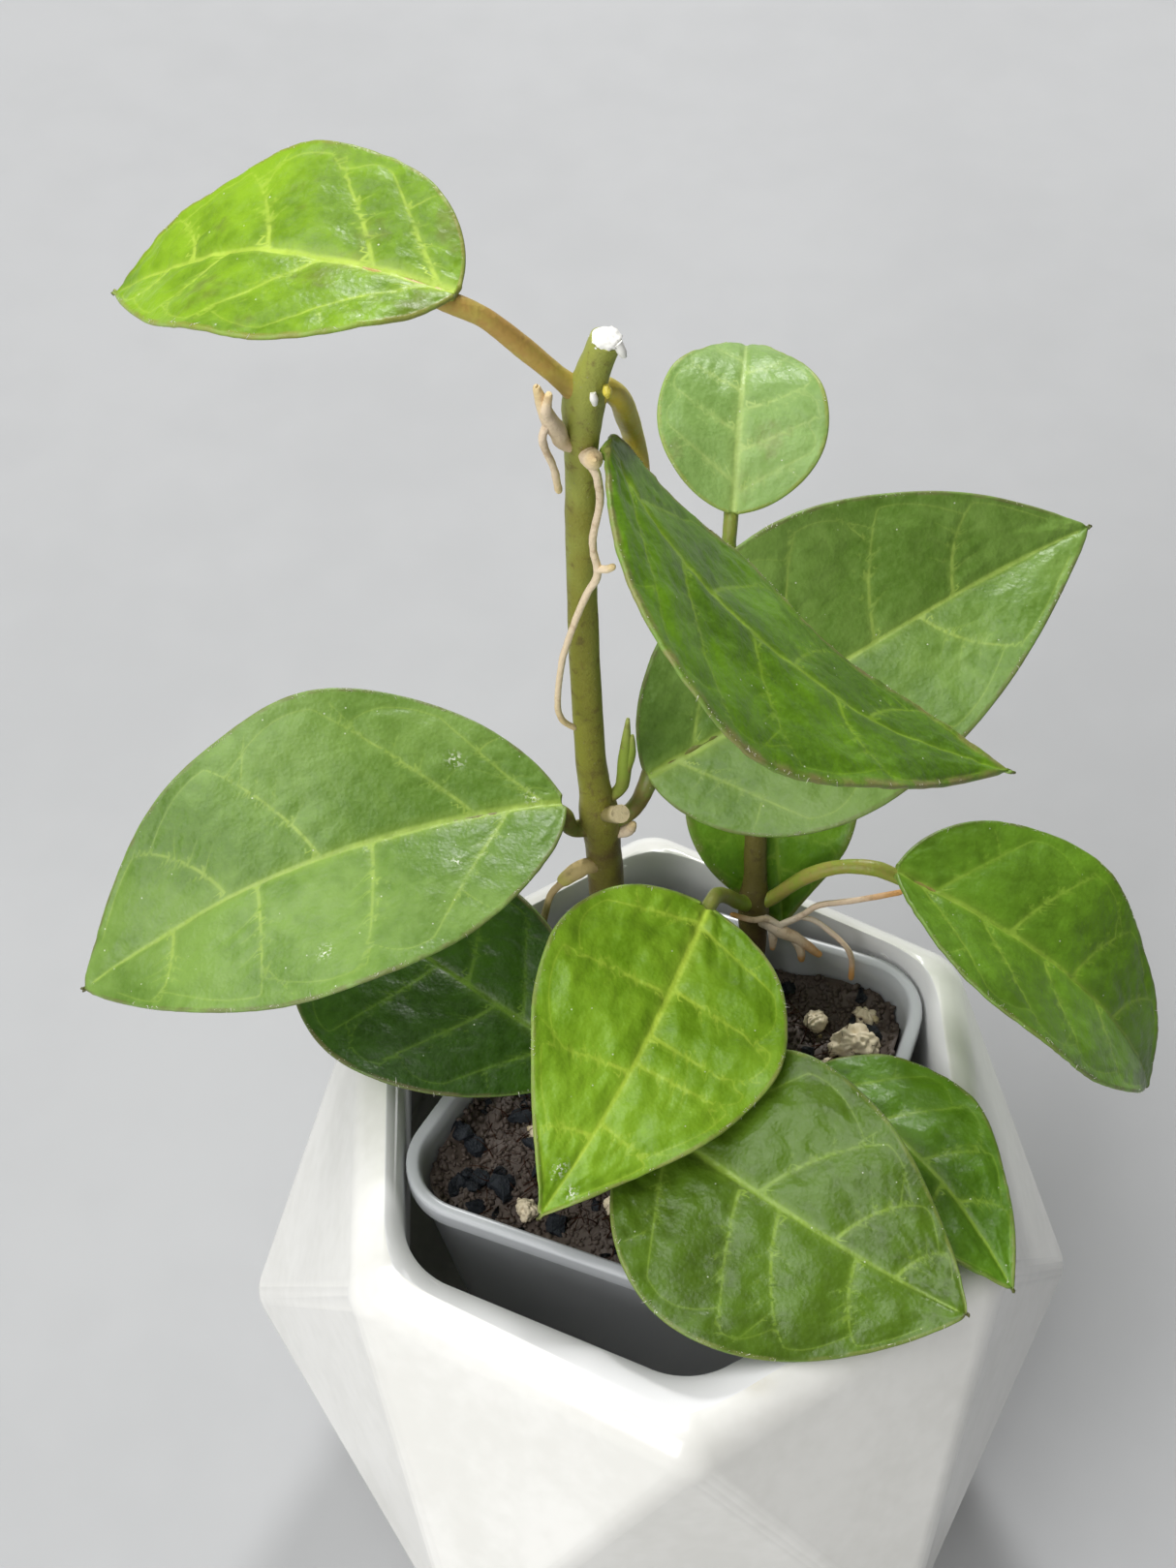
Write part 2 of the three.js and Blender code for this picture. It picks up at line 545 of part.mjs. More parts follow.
// Width of a blade at s from base to tip, as a share of its widest place.
function bladeOutline({ shoulder, taper }, s) {
  const { blunt } = BLADE;
  const widest = shoulder / (shoulder + taper);
  const rise = Math.sqrt(s / widest) * ((s + blunt) / (widest + blunt)) ** (shoulder - 0.5);
  return rise * ((1 - s) / (1 - widest)) ** taper;
}

// A point of the blade's upper face: s runs from base to tip, t from -1 (right) to 1.
function bladePoint(leaf, axes, s, t) {
  const { length, arch, skew, sway, twist, wave, waves, phase, hook } = leaf;
  const half = Math.max((t > 0 ? leaf.left : leaf.right) * bladeOutline(leaf, s), BLADE.tipWidth);
  const lift = (t > 0 ? leaf.liftLeft : leaf.liftRight) * DEG;
  const bow = 4 * s * (1 - s);
  const swing = Math.sin(2 * Math.PI * waves * s + phase * (t > 0 ? 1 : 2));
  const ripple = wave * Math.abs(t) ** 3 * Math.sqrt(bow) * swing;
  const bend = hook * THREE.MathUtils.clamp((s - BLADE.hookStart) / (1 - BLADE.hookStart), 0, 1) ** 2;
  const across = sway * bow + t * half * Math.cos(lift);
  const rise = arch * bow * (1 + skew * (2 * s - 1)) + Math.abs(t) * half * Math.sin(lift) + ripple + bend;
  const turn = twist * DEG * (s - 0.5);
  return new THREE.Vector3(...leaf.base)
    .addScaledVector(axes.along, length * s)
    .addScaledVector(axes.left, across * Math.cos(turn) - rise * Math.sin(turn))
    .addScaledVector(axes.up, across * Math.sin(turn) + rise * Math.cos(turn));
}

// The normal of the upper face, from the chords between nearby points.
function bladeNormal(leaf, axes, s, t) {
  const stepAlong = 0.01;
  const stepAcross = 0.3;
  const ahead = bladePoint(leaf, axes, Math.min(s + stepAlong, 1 - stepAlong / 2), t);
  const behind = bladePoint(leaf, axes, Math.max(s - stepAlong, stepAlong / 2), t);
  const left = bladePoint(leaf, axes, s, Math.min(t + stepAcross, 1));
  const right = bladePoint(leaf, axes, s, Math.max(t - stepAcross, -1));
  return ahead.sub(behind).cross(left.sub(right)).normalize();
}

// The blade as a thin closed slab, split into triangles alike on both faces.
function blade(leaf, axes) {
  const { thickness, rows, columns, end } = BLADE;
  const across = 2 * columns + 1;
  const upper = [];
  const lower = [];
  for (let i = 0; i <= rows; i += 1) {
    const s = THREE.MathUtils.lerp(end, 1 - end, 0.5 - 0.5 * Math.cos((Math.PI * i) / rows));
    for (let j = -columns; j <= columns; j += 1) {
      const point = bladePoint(leaf, axes, s, j / columns);
      const normal = bladeNormal(leaf, axes, s, j / columns);
      upper.push(point);
      lower.push(point.clone().addScaledVector(normal, -thickness));
    }
  }
  const index = [];
  const under = upper.length;
  for (let i = 0; i < rows; i += 1) {
    for (let j = 0; j < across - 1; j += 1) {
      const a = i * across + j;
      const b = a + across;
      index.push(a, b, b + 1, a, b + 1, a + 1);
      index.push(under + a, under + b + 1, under + b, under + a, under + a + 1, under + b + 1);
    }
  }
  const rim = [];
  for (let j = 0; j < across; j += 1) rim.push(j);
  for (let i = 1; i <= rows; i += 1) rim.push(i * across + across - 1);
  for (let j = across - 2; j >= 0; j -= 1) rim.push(rows * across + j);
  for (let i = rows - 1; i > 0; i -= 1) rim.push(i * across);
  rim.forEach((a, i) => {
    const b = rim[(i + 1) % rim.length];
    index.push(a, b, under + b, a, under + b, under + a);
  });
  const geometry = new THREE.BufferGeometry().setFromPoints([...upper, ...lower]);
  geometry.setIndex(index);
  return geometry;
}

// Petiole and the thick first stretch of the midrib under the blade, as one strand.
function petiole(leaf, axes) {
  const { swell, keel, cover } = PETIOLE;
  const stations = leaf.petiole.map(([x, y, z], i) => [x, y, z, leaf.stalk * (i === 0 ? swell : 1)]);
  for (const [onward, share] of keel) {
    const s = leaf.joint + onward;
    const radius = leaf.stalk * share;
    const depth = radius + cover;
    const p = bladePoint(leaf, axes, s, 0).addScaledVector(bladeNormal(leaf, axes, s, 0), -depth);
    stations.push([p.x, p.y, p.z, radius]);
  }
  return strand(stations, PETIOLE);
}

function leafGeometry(leaf) {
  const axes = bladeAxes(leaf);
  return seatOnStem(join([blade(leaf, axes), petiole(leaf, axes)]), leaf.stem);
}

// ---------------------------------------------------------------- sap

// Dried sap on the cut top of the main stem: a low dome with a drip down one side.
function sapCap() {
  const { radius, height, sides, rings, drip } = SAP_CAP;
  const [x, y, z, stemRadius] = STEMS.stem_main.at(-1);
  const dome = new THREE.SphereGeometry(radius, sides, rings);
  dome.scale(1, height / radius, 1);
  dome.rotateX(Math.PI / 2);
  dome.translate(x, y, z + SEAT_GAP);
  const cutEnd = [x + SEAT_GAP / 3, y, z + SEAT_GAP, stemRadius - SEAT_GAP];
  const stem = grown([...STEMS.stem_main, cutEnd]);
  return subtract(join([dome, strand(drip, GROWTH)]), stem);
}

// ---------------------------------------------------------------- assembly

function place(name, geometry, color, gloss) {
  const material = new THREE.MeshStandardMaterial({ color, roughness: 1 - gloss, metalness: 0 });
  const mesh = new THREE.Mesh(geometry, material);
  mesh.name = name;
  return mesh;
}

function plant() {
  const group = new THREE.Group();
  for (const [name, stations] of Object.entries(STEMS)) {
    group.add(place(name, strand(stations, STEM), COLOURS.stemGreen, 0.4));
  }
  for (const [name, leaf] of Object.entries(LEAVES)) {
    const light = ['leaf_upper_left', 'leaf_rear_round'].includes(name);
    group.add(place(name, leafGeometry(leaf), light ? COLOURS.leafLight : COLOURS.leaf, 0.65));
  }
  for (const [name, strands] of Object.entries(GROWTHS)) {
    const green = ['shoot_bud', 'pruned_stub'].includes(name);
    const stem = name === 'rear_stem_roots' ? 'stem_rear' : 'stem_main';
    const geometry = join(strands.map((stations) => strand(stations, GROWTH)));
    group.add(place(name, seatOnStem(geometry, stem), green ? COLOURS.bud : COLOURS.root, 0.2));
  }
  group.add(place('sap_cap', sapCap(), COLOURS.sap, 0.5));
  return group;
}

const pottedHoya = new THREE.Group();
pottedHoya.add(place('planter', planter(), COLOURS.ceramic, 0.85));
pottedHoya.add(place('grow_pot', growPot(), COLOURS.plastic, 0.6));
pottedHoya.add(place('soil', soil(), COLOURS.soil, 0.05));
STONES.forEach((stone, i) => {
  pottedHoya.add(place(`pumice_${i + 1}`, stoneGeometry(stone, 0), COLOURS.stone, 0.1));
});
pottedHoya.add(plant());

export default pottedHoya;
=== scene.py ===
"""The looks of a potted hoya: a wax plant in a square grow pot inside a white six-sided planter.

Sizes are written in millimetres and become metres where a mesh is made. The frame is the
CAD model's own: +Z up, -Y the front, the origin in the middle of the planter's underside.
"""
import logging
import math
from dataclasses import dataclass
from enum import Enum
from functools import cache
from typing import Any, Callable, Iterable

import bpy
import numpy as np
from mathutils import Matrix, Vector

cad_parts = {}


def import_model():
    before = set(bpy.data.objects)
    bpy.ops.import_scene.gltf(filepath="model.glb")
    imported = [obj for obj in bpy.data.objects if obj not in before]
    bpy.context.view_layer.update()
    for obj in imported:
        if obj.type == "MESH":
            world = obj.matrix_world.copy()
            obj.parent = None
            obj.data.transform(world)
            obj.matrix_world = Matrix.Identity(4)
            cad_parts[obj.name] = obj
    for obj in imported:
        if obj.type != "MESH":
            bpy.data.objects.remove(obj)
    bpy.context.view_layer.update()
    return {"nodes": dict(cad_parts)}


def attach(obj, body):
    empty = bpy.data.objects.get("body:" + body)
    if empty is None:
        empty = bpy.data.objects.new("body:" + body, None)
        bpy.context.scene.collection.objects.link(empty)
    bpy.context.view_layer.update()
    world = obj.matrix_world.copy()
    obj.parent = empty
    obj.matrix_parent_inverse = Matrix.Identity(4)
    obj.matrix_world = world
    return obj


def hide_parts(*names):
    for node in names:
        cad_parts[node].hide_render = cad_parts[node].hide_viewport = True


LOG = logging.getLogger("potted_hoya")
MM = 0.001
BODY = "root"
LATTICE = 64  # heights along each side of the noise's lattice
LATTICE_SHIFT = 20  # cells from the lattice's corner to the origin
FRONT = -90  # the planter's front corner, in degrees
SIXTH = 60  # degrees from one of its corners to the next

Point = tuple[float, float, float]
Station = tuple[float, float, float, float]
Colour = tuple[float, float, float, float]
Piece = bpy.types.Object
Material = bpy.types.Material
Node = bpy.types.Node
Socket = bpy.types.NodeSocket
Tree = bpy.types.NodeTree
Builder = Callable[[], Tree]


# ---------------------------------------------------------------- small helpers


def paint(code: str) -> Colour:
    """Turns a six-digit sRGB code into the linear colour that a shader takes."""
    channels = [int(code[i:i + 2], 16) / 255 for i in (0, 2, 4)]
    red, green, blue = (c / 12.92 if c <= 0.04045 else ((c + 0.055) / 1.055) ** 2.4 for c in channels)
    return red, green, blue, 1.0


def turned(angle: float) -> tuple[float, float]:
    """Cosine and sine of an angle in degrees."""
    return math.cos(math.radians(angle)), math.sin(math.radians(angle))


def smooth_noise(x: np.ndarray, y: np.ndarray, cell: float, seed: int) -> np.ndarray:
    """Smooth random heights over a plane.

    Args:
        x, y: places in millimetres.
        cell: distance between independent heights, in millimetres.
        seed: which field.

    Returns:
        Heights between -1 and 1.
    """
    lattice = np.random.default_rng(seed).uniform(-1, 1, (LATTICE, LATTICE))
    column, row = x / cell + LATTICE_SHIFT, y / cell + LATTICE_SHIFT
    i, j = np.floor(column).astype(int), np.floor(row).astype(int)
    u, v = column - i, row - j
    u, v = u * u * (3 - 2 * u), v * v * (3 - 2 * v)

    def along_row(b: np.ndarray) -> np.ndarray:
        """Heights between two columns of one row."""
        return lattice[i % LATTICE, b % LATTICE] * (1 - u) + lattice[(i + 1) % LATTICE, b % LATTICE] * u

    return along_row(j) * (1 - v) + along_row(j + 1) * v


def smooth_path(stations: Iterable[Iterable[float]], steps: int) -> np.ndarray:
    """Runs a smooth curve through rows of numbers.

    Args:
        stations: the rows that the curve passes through, such as x, y, z and radius.
        steps: how many stretches each span between two stations gets.

    Returns:
        One row for each point of the curve.
    """
    rows = np.array(list(stations), float)
    padded = np.vstack([2 * rows[0] - rows[1], rows, 2 * rows[-1] - rows[-2]])
    share = (np.arange(steps) / steps)[:, None]
    spans = []
    for a, b, c, d in zip(padded, padded[1:], padded[2:], padded[3:]):
        bend = 2 * b + (c - a) * share + (2 * a - 5 * b + 4 * c - d) * share ** 2
        spans.append(0.5 * (bend + (3 * b - a - 3 * c + d) * share ** 3))
    return np.vstack([*spans, rows[-1:]])


def new_object(name: str, data: Any) -> Piece:
    """Makes an object for a mesh, curve, lamp or camera and puts it into the scene."""
    made = bpy.data.objects.new(name, data)
    bpy.context.scene.collection.objects.link(made)
    return made


def mesh_object(name: str, points: np.ndarray, faces: Iterable[Iterable[int]],
                material: Material | None = None) -> Piece:
    """Makes an object at the origin from points in millimetres.

    Args:
        name: the object's name.
        points: one row of x, y, z for each vertex.
        faces: the vertex numbers of each face.
        material: what it is made of.

    Returns:
        The linked object, shaded smooth.
    """
    mesh = bpy.data.meshes.new(name)
    mesh.from_pydata((np.asarray(points) * MM).tolist(), [], [list(face) for face in faces])
    mesh.shade_smooth()
    if material:
        mesh.materials.append(material)
    return new_object(name, mesh)


def add_attribute(piece: Piece, name: str, values: np.ndarray) -> None:
    """Stores one number for each vertex of a piece, for its material to read."""
    layer = piece.data.attributes.new(name, "FLOAT", "POINT")
    layer.data.foreach_set("value", np.asarray(values, np.float32).ravel())


def settle(piece: Piece) -> Piece:
    """Turns a piece with its modifiers into a plain mesh.

    Args:
        piece: a mesh or curve object.

    Returns:
        A mesh object with the same name and no modifiers.
    """
    depsgraph = bpy.context.evaluated_depsgraph_get()
    mesh = bpy.data.meshes.new_from_object(piece.evaluated_get(depsgraph), depsgraph=depsgraph)
    name = piece.name
    bpy.data.objects.remove(piece)
    mesh.name = name
    return new_object(name, mesh)


def merge(name: str, pieces: list[Piece]) -> Piece:
    """Joins several mesh objects into the first one and names it."""
    with bpy.context.temp_override(active_object=pieces[0], selected_editable_objects=pieces):
        bpy.ops.object.join()
    pieces[0].name = name
    return pieces[0]


def at_height(flat: np.ndarray, z: float) -> np.ndarray:
    """Lifts rows of x and y to a height."""
    return np.column_stack([flat, np.full(len(flat), z)])


def loft(rings: list[np.ndarray], closed_ends: bool = True) -> tuple[np.ndarray, list[list[int]]]:
    """Skins a stack of closed rings, listed from below and anticlockwise.

    Args:
        rings: arrays of points, all with the same count.
        closed_ends: whether the first and last ring are filled.

    Returns:
        The points and the faces, which point outwards.
    """
    count = len(rings[0])
    faces = []
    for r in range(len(rings) - 1):
        for i in range(count):
            a, b = r * count + i, r * count + (i + 1) % count
            faces.append([a, b, b + count, a + count])
    if closed_ends:
        top = (len(rings) - 1) * count
        faces.append(list(range(count))[::-1])
        faces.append([top + i for i in range(count)])
    return np.vstack(rings), faces


def publish(piece: Piece, slot: str, *nodes: str) -> None:
    """Hands a finished piece to the frame.

    Args:
        piece: a mesh object at the origin.
        slot: the name of the material slot, which is only logged.
        nodes: the CAD nodes that it stands for.
    """
    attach(piece, BODY)
    if nodes:
        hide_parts(*nodes)
    faces = len(piece.data.polygons)
    LOG.info("%s: %d faces, slot %s, stands for %s", piece.name, faces, slot, nodes or "nothing")


# ---------------------------------------------------------------- node trees


@dataclass
class Graph:
    """Adds the nodes of one shader or geometry tree and wires them."""

    tree: Tree

    def add(self, kind: str, inputs: dict[Any, Any] | None = None, **settings: Any) -> Node:
        """Adds a node.

        Args:
            kind: the node's type name.
            inputs: a value, socket or node for each input, by name or number.
            settings: the node's own properties.

        Returns:
            The new node.
        """
        node = self.tree.nodes.new(kind)
        for key, value in settings.items():
            setattr(node, key, value)
        for key, value in (inputs or {}).items():
            self.feed(node.inputs[key], value)
        return node

    def feed(self, socket: Socket, value: Any) -> None:
        """Wires a socket or node to an input, or sets its value."""
        if isinstance(value, Node):
            value = value.outputs[0]
        if isinstance(value, Socket):
            self.tree.links.new(value, socket)
        else:
            socket.default_value = value

    def math(self, operation: str, first: Any, second: Any = 0.0) -> Socket:
        """Adds a Math node and returns its result."""
        return self.add("ShaderNodeMath", {0: first, 1: second}, operation=operation).outputs[0]

    def times(self, first: Any, second: Any) -> Socket:
        """Multiplies two fields."""
        return self.math("MULTIPLY", first, second)

    def blend(self, share: Any, first: Any, second: Any) -> Socket:
        """Mixes two colours and returns the result."""
        return self.add("ShaderNodeMix", {0: share, 6: first, 7: second}, data_type="RGBA").outputs[2]

    def noise(self, place: Any, scale: Any, detail: float = 2.0, roughness: float = 0.5) -> Socket:
        """Adds a noise texture and returns its height, from 0 to 1."""
        inputs = {"Vector": place, "Scale": scale, "Detail": detail, "Roughness": roughness}
        return self.add("ShaderNodeTexNoise", inputs).outputs[0]

    def ease(self, value: Any, low: Any, high: Any, start: Any = 0.0, end: Any = 1.0) -> Socket:
        """Eases from start to end as value goes from low to high."""
        inputs = {0: value, 1: low, 2: high, 3: start, 4: end}
        return self.add("ShaderNodeMapRange", inputs, interpolation_type="SMOOTHSTEP").outputs[0]

    def attribute(self, name: str) -> Socket:
        """Reads a number that is stored on the mesh."""
        return self.add("ShaderNodeAttribute", attribute_name=name).outputs["Fac"]


def socket_kind(value: Any) -> str:
    """The socket type that holds a value of this kind."""
    if isinstance(value, tuple):
        return "NodeSocketColor" if len(value) == 4 else "NodeSocketVector"
    kinds = {str: f"NodeSocket{value}", int: "NodeSocketInt", bool: "NodeSocketBool"}
    return kinds.get(type(value), "NodeSocketFloat")


def new_group(kind: str, name: str, inputs: dict[str, Any],
              outputs: dict[str, Any]) -> tuple[Graph, dict[str, Socket]]:
    """Starts a node group.

    Args:
        kind: ShaderNodeTree or GeometryNodeTree.
        name: the group's name.
        inputs: a default for each input, or the name of its socket type.
        outputs: the same for each output.

    Returns:
        The graph, and the socket that gives each input.
    """
    tree = bpy.data.node_groups.new(name, kind)
    for direction, sockets in (("INPUT", inputs), ("OUTPUT", outputs)):
        for label, value in sockets.items():
            socket = tree.interface.new_socket(label, in_out=direction, socket_type=socket_kind(value))
            if direction == "INPUT" and not isinstance(value, str):
                socket.default_value = value
    graph = Graph(tree)
    given = graph.add("NodeGroupInput").outputs
    return graph, {label: given[label] for label in inputs}


@cache
def built(builder: Builder) -> Tree:
    """Builds a node tree the first time it is asked for."""
    return builder()


def mottle_group() -> Tree:
    """Two colours that run into each other in large and small patches."""
    inputs = {"Place": (0.0, 0.0, 0.0), "First": paint("808080"), "Second": paint("A0A0A0"), "Scale": 0.1}
    graph, given = new_group("ShaderNodeTree", "Mottle", inputs, {"Colour": paint("808080"), "Height": 0.0})
    broad = graph.noise(given["Place"], given["Scale"], 3.0)
    small_scale = graph.times(given["Scale"], 7.0)
    small = graph.noise(given["Place"], small_scale, 2.0)
    height = graph.math("ADD", graph.times(broad, 0.7), graph.times(small, 0.3))
    share = graph.ease(height, 0.36, 0.64)
    colour = graph.blend(share, given["First"], given["Second"])
    graph.add("NodeGroupOutput", {"Colour": colour, "Height": height})
    return graph.tree


def vein_group() -> Tree:
    """A vein's line and its soft surround, from the signed and the plain distance to it."""
    inputs = {"Side": 0.0, "Gap": 0.0, "Rank": 1.0}
    graph, given = new_group("ShaderNodeTree", "Vein line", inputs, {"Line": 0.0, "Halo": 0.0})
    across = graph.math("ABSOLUTE", given["Side"])
    near = graph.ease(given["Gap"], 3.0, 4.2, 1.0, 0.0)
    line = graph.times(graph.ease(across, 0.3, 1.7, 1.0, 0.0), near)
    halo = graph.ease(given["Gap"], 0.5, 5.0, 1.0, 0.0)
    rank = given["Rank"]
    graph.add("NodeGroupOutput", {"Line": graph.times(line, rank),
                                  "Halo": graph.times(halo, rank)})
    return graph.tree


def speck_group() -> Tree:
    """Scattered small round specks, such as dust, pores and dried drops."""
    inputs = {"Place": (0.0, 0.0, 0.0), "Scale": 1.0, "Amount": 0.2, "Size": 0.2}
    graph, given = new_group("ShaderNodeTree", "Specks", inputs, {"Mask": 0.0})
    cells = graph.add("ShaderNodeTexVoronoi", {"Vector": given["Place"], "Scale": given["Scale"]})
    edge = graph.times(given["Size"], 0.6)
    dot = graph.ease(cells.outputs["Distance"], edge, given["Size"], 1.0, 0.0)
    draw = graph.add("ShaderNodeSeparateColor", {0: cells.outputs["Color"]}).outputs[0]
    chosen = graph.math("LESS_THAN", draw, given["Amount"])
    graph.add("NodeGroupOutput", {"Mask": graph.times(dot, chosen)})
    return graph.tree


class Effect(Enum):
    """The shared effects, each with the function that builds it."""

    MOTTLE = (mottle_group,)
    VEIN = (vein_group,)
    SPECKS = (speck_group,)

    def __init__(self, builder: Builder) -> None:
        """Keeps the builder as the member's value."""
        self._value_ = builder


class Surface:
    """One material under construction, with a Principled shader in it."""

    def __init__(self, name: str, **constants: Any) -> None:
        """Starts the material.

        Args:
            name: the material's name.
            constants: values that are the same all over, by the shader's socket names.
        """
        self.material = bpy.data.materials.new(name)
        self.material.use_nodes = True
        self.material.node_tree.nodes.clear()
        self.graph = Graph(self.material.node_tree)
        self.shader = self.graph.add("ShaderNodeBsdfPrincipled")
        for label, value in constants.items():
            self.shader.inputs[label.replace("_", " ")].default_value = value
        self.graph.add("ShaderNodeOutputMaterial", {"Surface": self.shader})
        where = self.graph.add("ShaderNodeTexCoord").outputs["Object"]
        scaled = self.graph.add("ShaderNodeVectorMath", {0: where, "Scale": 1 / MM}, operation="SCALE")
        self.place = scaled.outputs[0]

    def wire(self, **fields: Any) -> None:
        """Wires what changes over the surface to the shader's sockets."""
        for label, value in fields.items():
            self.graph.feed(self.shader.inputs[label.replace("_", " ")], value)

    def effect(self, effect: Effect, **inputs: Any) -> Node:
        """Places a shared effect with its own values, on the surface's own millimetres."""
        node = self.graph.add("ShaderNodeGroup", node_tree=built(effect.value))
        if "Place" in node.inputs.keys():
            inputs.setdefault("place", self.place)
        for label, value in inputs.items():
            self.graph.feed(node.inputs[label.capitalize()], value)
        return node

    def relief(self, height: Any, depth: float) -> None:
        """Roughens the normal by a field from 0 to 1, where 1 is depth millimetres high."""
        inputs = {"Strength": 1.0, "Distance": depth * MM, "Height": height}
        self.wire(Normal=self.graph.add("ShaderNodeBump", inputs))


# ---------------------------------------------------------------- finishes


@dataclass(frozen=True)
class Glaze:
    """White ceramic glaze with a faint stain where water has dried."""

    name: str = "white_glaze"
    white: str = "F2F1EC"
    shade: str = "E9E8E2"
    stain: str = "D8CB9E"
    stain_place: Point = (8.0, -35.5, 83.5)
    stain_radius: float = 7.0

    def material(self) -> Material:
        """Builds the material."""
        made = Surface(self.name, IOR=1.5, Coat_Weight=0.5, Coat_Roughness=0.12)
        graph = made.graph
        body = made.effect(Effect.MOTTLE, first=paint(self.white), second=paint(self.shade), scale=0.05)
        reach = graph.add("ShaderNodeVectorMath", {0: made.place, 1: self.stain_place}, operation="DISTANCE")
        spread = graph.ease(reach.outputs["Value"], 1.0, self.stain_radius, 0.55, 0.0)
        broken = graph.ease(graph.noise(made.place, 0.4, 4.0), 0.35, 0.7)
        colour = graph.blend(graph.times(spread, broken), body.outputs["Colour"], paint(self.stain))
        rough = graph.ease(graph.noise(made.place, 0.06), 0.3, 0.7, 0.22, 0.27)
        made.wire(Base_Color=colour, Roughness=rough)
        return made.material


@dataclass(frozen=True)
class MilkyPlastic:
    """Thin cloudy plastic, dark where the wet soil lies against it."""

    name: str = "milky_plastic"
    clear: str = "B4BAC0"
    backed: str = "14181C"
    cloudy: str = "454C54"
    scuff: str = "C8CCD0"
    soil_level: float = 76.0

    def material(self) -> Material:
        """Builds the material."""
        made = Surface(self.name, IOR=1.49, Transmission_Weight=0.25)
        graph = made.graph
        height = graph.add("ShaderNodeSeparateXYZ", {0: made.place}).outputs[2]
        wavy = graph.math("ADD", height, graph.times(graph.noise(made.place, 0.25, 3.0), 4.0))
        above = graph.ease(wavy, self.soil_level + 0.5, self.soil_level + 4.0)
        patch = made.effect(Effect.MOTTLE, first=paint(self.backed), second=paint(self.cloudy), scale=0.12)
        colour = graph.blend(above, patch.outputs["Colour"], paint(self.clear))
        scuffs = made.effect(Effect.SPECKS, scale=0.9, amount=0.25, size=0.2)
        colour = graph.blend(graph.times(scuffs.outputs["Mask"], 0.25), colour, paint(self.scuff))
        made.wire(Base_Color=colour, Roughness=graph.ease(patch.outputs["Height"], 0.3, 0.7, 0.28, 0.45))
        made.relief(graph.noise(made.place, 0.8, 3.0), 0.05)
        return made.material


@dataclass(frozen=True)
class Earth:
    """Loose potting mix: each grain or fibre takes its own tint."""

    name: str
    dark: str
    light: str
    roughness: float = 0.9
    scale: float = 0.8

    def material(self) -> Material:
        """Builds the material."""
        made = Surface(self.name, Specular_IOR_Level=0.15)
        graph = made.graph
        body = made.effect(Effect.MOTTLE, first=paint(self.dark), second=paint(self.light), scale=self.scale)
        tint = graph.ease(graph.attribute("tint"), 0.0, 1.0)
        colour = graph.blend(graph.times(tint, 0.7), body.outputs["Colour"], paint(self.light))
        grit = graph.ease(body.outputs["Height"], 0.3, 0.7, self.roughness - 0.25, self.roughness)
        made.wire(Base_Color=colour, Roughness=grit)
        made.relief(graph.noise(made.place, 3.0, 4.0), 0.25)
        return made.material


@dataclass(frozen=True)
class Pumice:
    """Pale stone full of small pits, stained by the soil."""

    name: str = "pumice"
    pale: str = "D8C48E"
    warm: str = "BC9468"
    pit: str = "50402C"

    def material(self) -> Material:
        """Builds the material."""
        made = Surface(self.name, Roughness=0.92)
        graph = made.graph
        body = made.effect(Effect.MOTTLE, first=paint(self.pale), second=paint(self.warm), scale=0.35)
        pits = made.effect(Effect.SPECKS, scale=2.2, amount=0.6, size=0.42)
        dirt = graph.ease(graph.noise(made.place, 0.7, 4.0), 0.5, 0.72)
        share = graph.math("MAXIMUM", graph.times(pits.outputs["Mask"], 0.6), graph.times(dirt, 0.7))
        made.wire(Base_Color=graph.blend(share, body.outputs["Colour"], paint(self.pit)))
        height = graph.math("SUBTRACT", graph.noise(made.place, 1.2, 5.0), pits.outputs["Mask"])
        made.relief(height, 0.3)
        return made.material


@dataclass(frozen=True)
class Bark:
    """Skin of a stem, shoot or root, from its foot colour to its tip colour."""

    name: str
    foot: str
    middle: str
    tip: str
    patch: str
    specks: float = 0.25
    roughness: float = 0.5
    grain: float = 0.12

    def material(self) -> Material:
        """Builds the material."""
        made = Surface(self.name, IOR=1.42)
        graph = made.graph
        along = graph.attribute("along")
        drift = graph.times(graph.math("SUBTRACT", graph.noise(made.place, 0.18, 3.0), 0.5), 0.7)
        wander = graph.math("ADD", along, drift)
        colour = graph.blend(graph.ease(wander, 0.1, 0.45), paint(self.foot), paint(self.middle))
        colour = graph.blend(graph.ease(wander, 0.6, 0.95), colour, paint(self.tip))
        streaks = graph.ease(graph.noise(made.place, 0.55, 5.0, 0.65), 0.52, 0.68)
        colour = graph.blend(graph.times(streaks, 0.55), colour, paint(self.patch))
        pores = made.effect(Effect.SPECKS, scale=1.4, amount=self.specks, size=0.16)
        colour = graph.blend(graph.times(pores.outputs["Mask"], 0.5), colour, paint("C9C2A0"))
        rough = graph.ease(streaks, 0.0, 1.0, self.roughness, self.roughness + 0.15)
        made.wire(Base_Color=colour, Roughness=rough)
        fine = graph.noise(made.place, 2.2, 4.0)
        made.relief(graph.math("ADD", fine, graph.times(pores.outputs["Mask"], 0.5)), self.grain)
        return made.material


@dataclass(frozen=True)
class Latex:
    """Dried milky sap."""

    name: str
    pale: str
    warm: str
    roughness: float = 0.45

    def material(self) -> Material:
        """Builds the material."""
        made = Surface(self.name, IOR=1.45, Coat_Weight=0.3)
        graph = made.graph
        body = made.effect(Effect.MOTTLE, first=paint(self.pale), second=paint(self.warm), scale=0.8)
        rough = graph.ease(body.outputs["Height"], 0.3, 0.7, self.roughness, self.roughness + 0.3)
        made.wire(Base_Color=body.outputs["Colour"], Roughness=rough)
        made.relief(graph.noise(made.place, 2.5, 5.0), 0.2)
        return made.material


